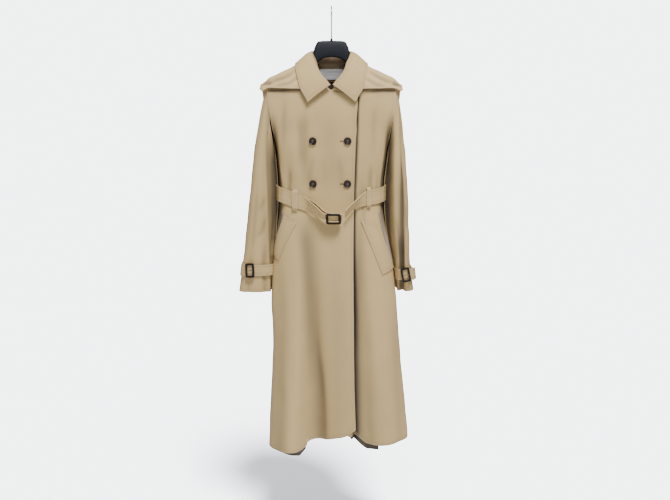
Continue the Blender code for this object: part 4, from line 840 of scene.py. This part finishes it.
belt["reshape"] = raiseAtBuckle
loops = ["belt_loop_right", "belt_loop_left"]
makeSheet("waistBelt", "belt", dict(belt, restsOn=loops, fair=8, flat=(0.98, 0.040)))
makeSheet("beltEnd", "belt_end", dict(belt, restsOn=["belt"], fair=6, flat=(0.10, 0.040)))
leftLining = {
    "lowBy": 0.007, "lowFrom": (1.300, 1.335), "lowX": (0.054, 0.068), "lowTo": (0.150, 0.170),
    "highBy": 0.024, "highFrom": (1.26, 1.32), "highX": (0.052, 0.064),
    "longBy": 0.010, "longX": (0.110, 0.148),
}


def lowerLining(point):
    # the lining's edge, which shows under the left front and ends under the overlap
    x, y, z = point
    low = ramp(-z, *leftLining["lowFrom"]) * ramp(x, *leftLining["lowX"])
    low *= 1 - ramp(x, *leftLining["lowTo"])
    high = ramp(-z, *leftLining["highFrom"]) * (1 - ramp(x, *leftLining["highX"]))
    return Vector((x + leftLining["longBy"] * ramp(x, *leftLining["longX"]), y,
                   z - leftLining["lowBy"] * low + leftLining["highBy"] * high))


for side, hand, weltFlat, hemShape, hemFront in (("right", -1, (0.043, 0.150), steepStep, fronts),
                                                 ("left", 1, (0.048, 0.165), lowerLining, leftFront)):
    name, onFront = side.capitalize(), [f"front_{side}_panel"]
    makeSheet("beltLoop" + name, "belt_loop_" + side, {
        "restsOn": onFront, "splits": 3, "fair": 1, "flat": (0.013, 0.085)})
    makeSheet("pocketWelt" + name, "pocket_welt_" + side, {
        "restsOn": onFront, "splits": 3, "fair": 4, "flat": weltFlat})
    makeSheet("pocketLining" + name, "pocket_lining_" + side, {
        "wall": 0.001, "restsOn": onFront, "fair": 4, "flat": (0.022, 0.14), "creases": fronts["creases"],
        "slot": "pocketing"}, pocketTwill)
    makeSheet("hemLining" + name, "hem_lining_" + side, {
        "wall": 0.001, "restsOn": onFront, "splits": 3, "fair": 2, "flat": (0.10, 0.066), "reshape": hemShape,
        "creases": hemFront["creases"], "inset": 0.0016, "slot": "lining"}, liningTwill)
    makeSheet("cuffStrap" + name, "cuff_strap_" + side, {
        "middle": sleeveMiddle(hand), "restsOn": ["sleeve_" + side], "fair": 4, "flat": (0.36, 0.034)})
    makeSheet("cuffKeeper" + name, "cuff_keeper_" + side, {
        "middle": sleeveMiddle(hand), "restsOn": ["cuff_strap_" + side], "splits": 3, "fair": 1, "narrow": 0,
        "flat": (0.0105, 0.042), "area": 0.00036})


def behindNeck(point):
    return Vector((point.x, 0.2, point.z))


makeSheet("backNeckLining", "back_neck_lining", {
    "wall": 0.001, "restsOn": ["back_panel"], "fair": 6, "flat": (0.084, 0.085), "slot": "lining",
    "middle": behindNeck}, neckTwill)
makeSheet("neckLabel", "neck_label", {
    "wall": 0.0008, "restsOn": ["back_neck_lining"], "splits": 3, "fair": 2, "flat": (0.074, 0.033),
    "slot": "label", "middle": behindNeck}, labelSatin)
print("belt, pockets and small cloth made")


def mode(name):
    bpy.ops.object.mode_set(mode=name)


def chooseFaces(piece, test=lambda face: True):
    # in edit mode, selects the faces that pass the test
    bpy.ops.mesh.select_mode(type="FACE")
    bpy.ops.mesh.select_all(action="DESELECT")
    mesh = bmesh.from_edit_mesh(piece.data)
    for face in mesh.faces:
        face.select_set(test(face))
    bmesh.update_edit_mesh(piece.data)


def newCylinder(vertices, radius, height):
    # a cylinder, in edit mode with its top chosen
    selectNone()
    bpy.ops.mesh.primitive_cylinder_add(vertices=vertices, radius=radius, depth=height)
    made = bpy.context.object
    mode("EDIT")
    chooseFaces(made, lambda face: face.normal.z > 0.9)
    return made


def applyModifiers(piece):
    pick(piece)
    for modifier in list(piece.modifiers):
        bpy.ops.object.modifier_apply(modifier=modifier.name)


def soften(piece, width, segments=3, angle=40):
    edge = piece.modifiers.new("soften", "BEVEL")
    edge.width, edge.segments = width, segments
    edge.limit_method, edge.angle_limit = "ANGLE", radians(angle)
    applyModifiers(piece)
    smoothBelow(35)


def seat(model, name, matrix, material, slot, node=None):
    # a copy of a model with its own mesh, put in its place
    piece = addObject(name, model.data.copy())
    piece.data.transform(matrix)
    piece.data.materials.clear()
    piece.data.materials.append(material)
    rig.ride(piece, "root")
    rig.slot(piece, slot)
    if node:
        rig.replaces(piece, node)


def uprightSeat(at, out, up):
    # place and turn with z along out and y as near to up as that allows
    up = (up - out * up.dot(out)).normalized()
    if up.z < 0:
        up = -up
    return Matrix.Translation(at) @ Matrix((up.cross(out), up, out)).transposed().to_4x4()


def nodeWays(node):
    # middle of a node's box, its points about their mean, and their directions, thinnest first
    points = np.array([vert.co for vert in nodes[node].data.vertices])
    low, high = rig.box(node)
    centre = Vector([(a + b) / 2 for a, b in zip(low, high)])
    spread = points - points.mean(axis=0)
    return centre, spread, np.linalg.eigh(spread.T @ spread)[1]


def nodeSeat(node, upright=None):
    # seat of a flat node: z along its thin way and out, y along its long way or upright
    centre, spread, ways = nodeWays(node)
    out = Vector(ways[:, 0])
    if out.y > 0:
        out = -out
    return uprightSeat(centre, out, Vector(upright or ways[:, 2]))


button = {
    "width": 0.0235, "thick": 0.0036, "rim": 0.0026, "slope": 0.0010, "dish": 0.0010,
    "hole": 0.00105, "apart": 0.0044, "thread": 0.00062,
}


def modelButton():
    made = newCylinder(64, button["width"] / 2, button["thick"])
    bpy.ops.mesh.inset(thickness=button["rim"] * 0.45, depth=0.0004)
    bpy.ops.mesh.inset(thickness=button["rim"] * 0.55, depth=0)
    bpy.ops.mesh.inset(thickness=button["slope"], depth=-button["dish"])
    bpy.ops.mesh.inset(thickness=0.0030, depth=-0.0002)
    mode("OBJECT")
    soften(made, 0.0005, 3, 18)
    drills = []
    for k in range(4):
        turn, away = pi / 4 + k * pi / 2, button["apart"] / 2 * 1.41
        bpy.ops.mesh.primitive_cylinder_add(vertices=16, radius=button["hole"], depth=0.02,
                                            location=(away * cos(turn), away * sin(turn), 0))
        drills.append(bpy.context.object)
    for drill in drills:
        cut = made.modifiers.new("hole", "BOOLEAN")
        cut.operation, cut.object, cut.solver = "DIFFERENCE", drill, "EXACT"
    applyModifiers(made)
    for drill in drills:
        discard(drill)
    pick(made)
    smoothBelow(35)
    return made


def modelThread():
    # two pairs of strands over the bridge between the four holes
    selectNone()
    apart, thread, strands = button["apart"] / 2, button["thread"], []
    for row in (-1, 1):
        for k in (-0.5, 0.5):
            bpy.ops.mesh.primitive_torus_add(
                major_segments=24, minor_segments=8, major_radius=apart, minor_radius=thread,
                location=(0, row * apart + k * thread * 1.6, 0), rotation=(pi / 2, 0, 0))
            strand = bpy.context.object
            mode("EDIT")
            bpy.ops.mesh.select_all(action="SELECT")
            bpy.ops.transform.resize(value=(1, 1, 0.55))
            mode("OBJECT")
            strands.append(strand)
    for strand in strands:
        strand.select_set(True)
    bpy.ops.object.join()
    made = bpy.context.object
    bpy.ops.object.transform_apply(location=True, rotation=True, scale=True)
    made.data.transform(Matrix.Translation((0, 0, button["thick"] / 2 - 0.0010)))
    bpy.ops.object.shade_smooth()
    return made


buttonModel, threadModel = modelButton(), modelThread()
for node in sorted(nodes):
    if node.startswith("button_"):
        matrix = nodeSeat(node, (0, 0, 1)) @ Matrix.Rotation(radians(8 if "left" in node else -14), 4, "Z")
        title = "".join(part.capitalize() for part in node.split("_")[1:])
        seat(buttonModel, "button" + title, matrix, buttonHorn, "button", node)
        seat(threadModel, "buttonThread" + title, matrix, darkThread, "button")

cuffBuckle = {"size": (0.028, 0.045), "bar": 0.0060, "thick": 0.0036, "corner": 0.0055, "prongThick": 0.0011}
buckles = {
    "waistBuckle": {"node": "belt_buckle", "prong": "belt_prong", "size": (0.046, 0.050), "bar": 0.0080,
                    "thick": 0.0045, "corner": 0.0085, "upright": (0, 0, 1), "prongThick": 0.0016},
    "cuffBuckleRight": dict(cuffBuckle, node="cuff_buckle_right", prong="cuff_prong_right"),
    "cuffBuckleLeft": dict(cuffBuckle, node="cuff_buckle_left", prong="cuff_prong_left"),
}


def modelBuckle(name, buckle):
    width, height = buckle["size"]
    selectNone()
    bpy.ops.mesh.primitive_plane_add(size=1)
    made = bpy.context.object
    mode("EDIT")
    bpy.ops.mesh.select_all(action="SELECT")
    bpy.ops.transform.resize(value=(width, height, 1))
    bpy.ops.mesh.bevel(offset=buckle["corner"], offset_type="OFFSET", segments=6, affect="VERTICES")
    chooseFaces(made)
    bpy.ops.mesh.inset(thickness=buckle["bar"] * 0.5)
    bpy.ops.mesh.inset(thickness=buckle["bar"] * 0.5)
    bpy.ops.mesh.delete(type="FACE")
    chooseFaces(made)
    bpy.ops.mesh.extrude_region_move(TRANSFORM_OT_translate={"value": (0, 0, -buckle["thick"])})
    bpy.ops.mesh.select_all(action="SELECT")
    bpy.ops.mesh.normals_make_consistent(inside=False)
    bpy.ops.transform.translate(value=(0, 0, buckle["thick"] / 2))
    mode("OBJECT")
    soften(made, buckle["thick"] * 0.36, 4, 50)
    seat(made, name, nodeSeat(buckle["node"], buckle.get("upright")), buckleLeather, "buckle", buckle["node"])
    discard(made)


def modelProng(name, node, thick):
    # a pin that tapers to its tip, along its node's long way
    centre, spread, ways = nodeWays(node)
    along = Vector(ways[:, 2])
    length = float(np.ptp(spread @ np.array(along)))
    made = newCylinder(20, thick, length)
    bpy.ops.transform.resize(value=(0.62, 0.62, 1))
    bpy.ops.mesh.inset(thickness=thick * 0.2, depth=thick * 0.2)
    mode("OBJECT")
    soften(made, thick * 0.25, 2)
    turn = along.to_track_quat("Z", "Y").to_matrix().to_4x4()
    seat(made, name, Matrix.Translation(centre) @ turn, prongSteel, "buckle", node)
    discard(made)


for name, buckle in buckles.items():
    modelBuckle(name, buckle)
    modelProng(name.replace("Buckle", "Prong"), buckle["prong"], buckle["prongThick"])
for model in (buttonModel, threadModel):
    discard(model)
print("buttons and buckles made")

buttonhole = {"length": 0.0250, "width": 0.0030, "thread": 0.00075, "shift": -0.0100}


def makeButtonhole(name, node):
    # the worked eye of the buttonhole, which shows beside its button
    low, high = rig.box(node)
    x, z = (low[0] + high[0]) / 2 + buttonhole["shift"], (low[2] + high[2]) / 2
    stretch = buttonhole["length"] - buttonhole["width"]
    selectNone()
    bpy.ops.mesh.primitive_torus_add(major_segments=48, minor_segments=8, minor_radius=buttonhole["thread"],
                                     major_radius=buttonhole["width"] / 2)
    made = bpy.context.object
    mode("EDIT")
    mesh = bmesh.from_edit_mesh(made.data)
    for vert in mesh.verts:
        vert.select_set(vert.co.x > 0.00001)
    mesh.select_flush(True)
    bmesh.update_edit_mesh(made.data)
    bpy.ops.transform.translate(value=(stretch, 0, 0))
    mode("OBJECT")
    made.data.transform(Matrix.Translation((-stretch / 2, 0, 0)))
    bpy.ops.object.shade_smooth()
    hit, at, normal, face = bpy.data.objects["frontRight"].ray_cast(Vector((x, -1, z)), Vector((0, 1, 0)))
    place = uprightSeat(at + normal * 0.0002, normal, Vector((0, 0, 1)))
    seat(made, name, place, darkThread, "gabardine")
    discard(made)


makeButtonhole("buttonholeUpper", "button_upper_left")
makeButtonhole("buttonholeLower", "button_lower_left")

hanger = {
    "rounding": 2, "wire": 0.0019, "bend": 0.021, "foot": -0.0912, "knob": 0.0037, "knobTop": -0.0915,
    "knobFoot": -0.0982, "headTo": 0.06,                            # half of its head's width at most
    "flare": (0.17, 0.100, 0.120, 0.132, 0.154),                    # the head flares out to its shoulders
    "topFlare": (0.19, 0.100, 0.116), "topRaise": (0.0028, 0.098, 0.110),
}


def shapeHead(point):
    low = -point.z
    if abs(point.x) < hanger["headTo"]:
        by, start, full, fall, end = hanger["flare"]
        point.x *= 1 + by * ramp(low, start, full) * (1 - ramp(low, fall, end))
        by, full, end = hanger["topFlare"]
        point.x *= 1 + by * (1 - ramp(low, full, end))
        by, full, end = hanger["topRaise"]
        point.z += by * (1 - ramp(low, full, end))


def makeHanger():
    source = mergedCopy("hanger_body")
    for vert in source.verts:
        shapeHead(vert.co)
    mesh = bpy.data.meshes.new("hangerBody")
    source.to_mesh(mesh)
    source.free()
    body = addObject("hangerBody", mesh)
    rounding = body.modifiers.new("rounding", "SUBSURF")
    rounding.levels = rounding.render_levels = hanger["rounding"]
    applyModifiers(body)
    bpy.ops.object.shade_smooth()
    mesh.materials.append(hangerPlastic)
    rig.replaces(body, "hanger_body")
    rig.ride(body, "root")
    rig.slot(body, "hanger")

    radius, middle = hanger["bend"] + hanger["wire"], -hanger["bend"]
    way = [(0, 0, hanger["foot"]), (0, 0, -0.085), (0, 0, -0.076), (0, -0.0006, -0.068), (0, -0.0022, -0.060)]
    for turn in range(236, -21, -8):
        way.append((0, radius * cos(radians(turn)), middle + radius * sin(radians(turn))))
    curve = bpy.data.curves.new("hook", "CURVE")
    curve.dimensions, curve.bevel_depth, curve.bevel_resolution = "3D", hanger["wire"], 5
    curve.use_fill_caps = True
    spline = curve.splines.new("POLY")
    spline.points.add(len(way) - 1)
    for place, point in zip(spline.points, way):
        place.co = (*point, 1)
    pick(addObject("hangerHook", curve))
    bpy.ops.object.convert(target="MESH")
    wire = bpy.context.object
    soften(wire, 0.0009, 3, 60)
    seat(wire, "hook", Matrix.Identity(4), hookChrome, "hook", "hanger_hook")
    discard(wire)

    top, foot = hanger["knobTop"], hanger["knobFoot"]
    knob = newCylinder(32, hanger["knob"], top - foot)
    bpy.ops.mesh.inset(thickness=0.0005, depth=0.0)
    bpy.ops.mesh.bevel(offset=0.0004, segments=2, affect="EDGES")
    mode("OBJECT")
    soften(knob, 0.0016, 4, 60)
    place = Matrix.Translation((0, 0, (top + foot) / 2))
    seat(knob, "hookKnob", place, hangerPlastic, "hook", "hanger_ferrule")
    discard(knob)


makeHanger()
print("hanger made")

studio = {
    "floorZ": -1.72, "floorSize": 90.0,
    "floorColour": (0.90, 0.90, 0.90, 1), "floorPatch": (0.8865, 0.8865, 0.8865, 1),
    "roomColour": (0.93, 0.96, 1.00, 1), "roomLight": 0.30, "roomShown": 5.5,
    "cameraAt": (-0.015, -2.45, -0.335), "cameraDown": 9.3, "cameraRight": 0.6,
    "focalPixels": 790.0, "imageWidth": 670, "sensor": 36.0,
    "lights": [    # name, kind, place, target, power, size (or a sun's angle), colour
        ("keyLight", "SUN", (0.45, -1.35, 2.6), (0, 0, 0), 3.9, radians(14), (1.0, 0.985, 0.96)),
        ("topLight", "AREA", (0.15, -0.80, 0.75), (0, 0, -0.24), 10, 0.5, (1.0, 0.99, 0.97)),
        ("frontLight", "AREA", (0.6, -3.2, -0.3), (0, 0, -0.7), 6, 1.6, (1.0, 0.99, 0.98)),
    ],
}


def makeStudio():
    selectNone()
    bpy.ops.mesh.primitive_plane_add(size=studio["floorSize"], location=(0, 0, 0))
    floor = bpy.context.object
    floor.name = "floor"
    floor.data.transform(Matrix.Translation((0, 0, studio["floorZ"])))
    material, tree, shader = newMaterial("floorPaint")
    coords = addNode(tree, "TexCoord").outputs["Object"]
    patches = addNode(tree, "TexNoise", Scale=0.6, Detail=2.0, Vector=coords).outputs["Fac"]
    colour = blendColours(tree, patches, studio["floorPatch"], studio["floorColour"])
    feed(tree, shader.inputs["Base Color"], colour)
    feed(tree, shader.inputs["Roughness"], 0.9)
    floor.data.materials.append(material)
    floor.is_shadow_catcher = True     # the room's own white, with the coat's soft shadow on it
    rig.stage(floor)

    world = bpy.data.worlds.new("studio")
    world.use_nodes = True
    tree = world.node_tree
    background = tree.nodes["Background"]
    feed(tree, background.inputs["Color"], studio["roomColour"])
    seen = addNode(tree, "LightPath").outputs["Is Camera Ray"]
    more = studio["roomShown"] - studio["roomLight"]
    feed(tree, background.inputs["Strength"], mathNode(tree, "MULTIPLY_ADD", seen, more, studio["roomLight"]))
    bpy.context.scene.world = world

    for name, kind, at, target, power, size, colour in studio["lights"]:
        data = bpy.data.lights.new(name, kind)
        data.energy, data.color = power, colour
        setattr(data, "angle" if kind == "SUN" else "size", size)
        lamp = addObject(name, data)
        lamp.location = at
        lamp.rotation_euler = (Vector(target) - Vector(at)).to_track_quat("-Z", "Y").to_euler()
    camera = bpy.data.cameras.new("camera")
    camera.sensor_width = studio["sensor"]
    camera.lens = studio["focalPixels"] * studio["sensor"] / studio["imageWidth"]
    holder = addObject("camera", camera)
    holder.location = studio["cameraAt"]
    holder.rotation_euler = (radians(90 - studio["cameraDown"]), 0, -radians(studio["cameraRight"]))
    bpy.context.scene.camera = holder


makeStudio()
print("studio made")
bpy.context.view_layer.update()
visualBox = [list(corner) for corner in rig.bounds()]
json.dump({"cad": cadBox, "visual": visualBox}, open("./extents.json", "w"))
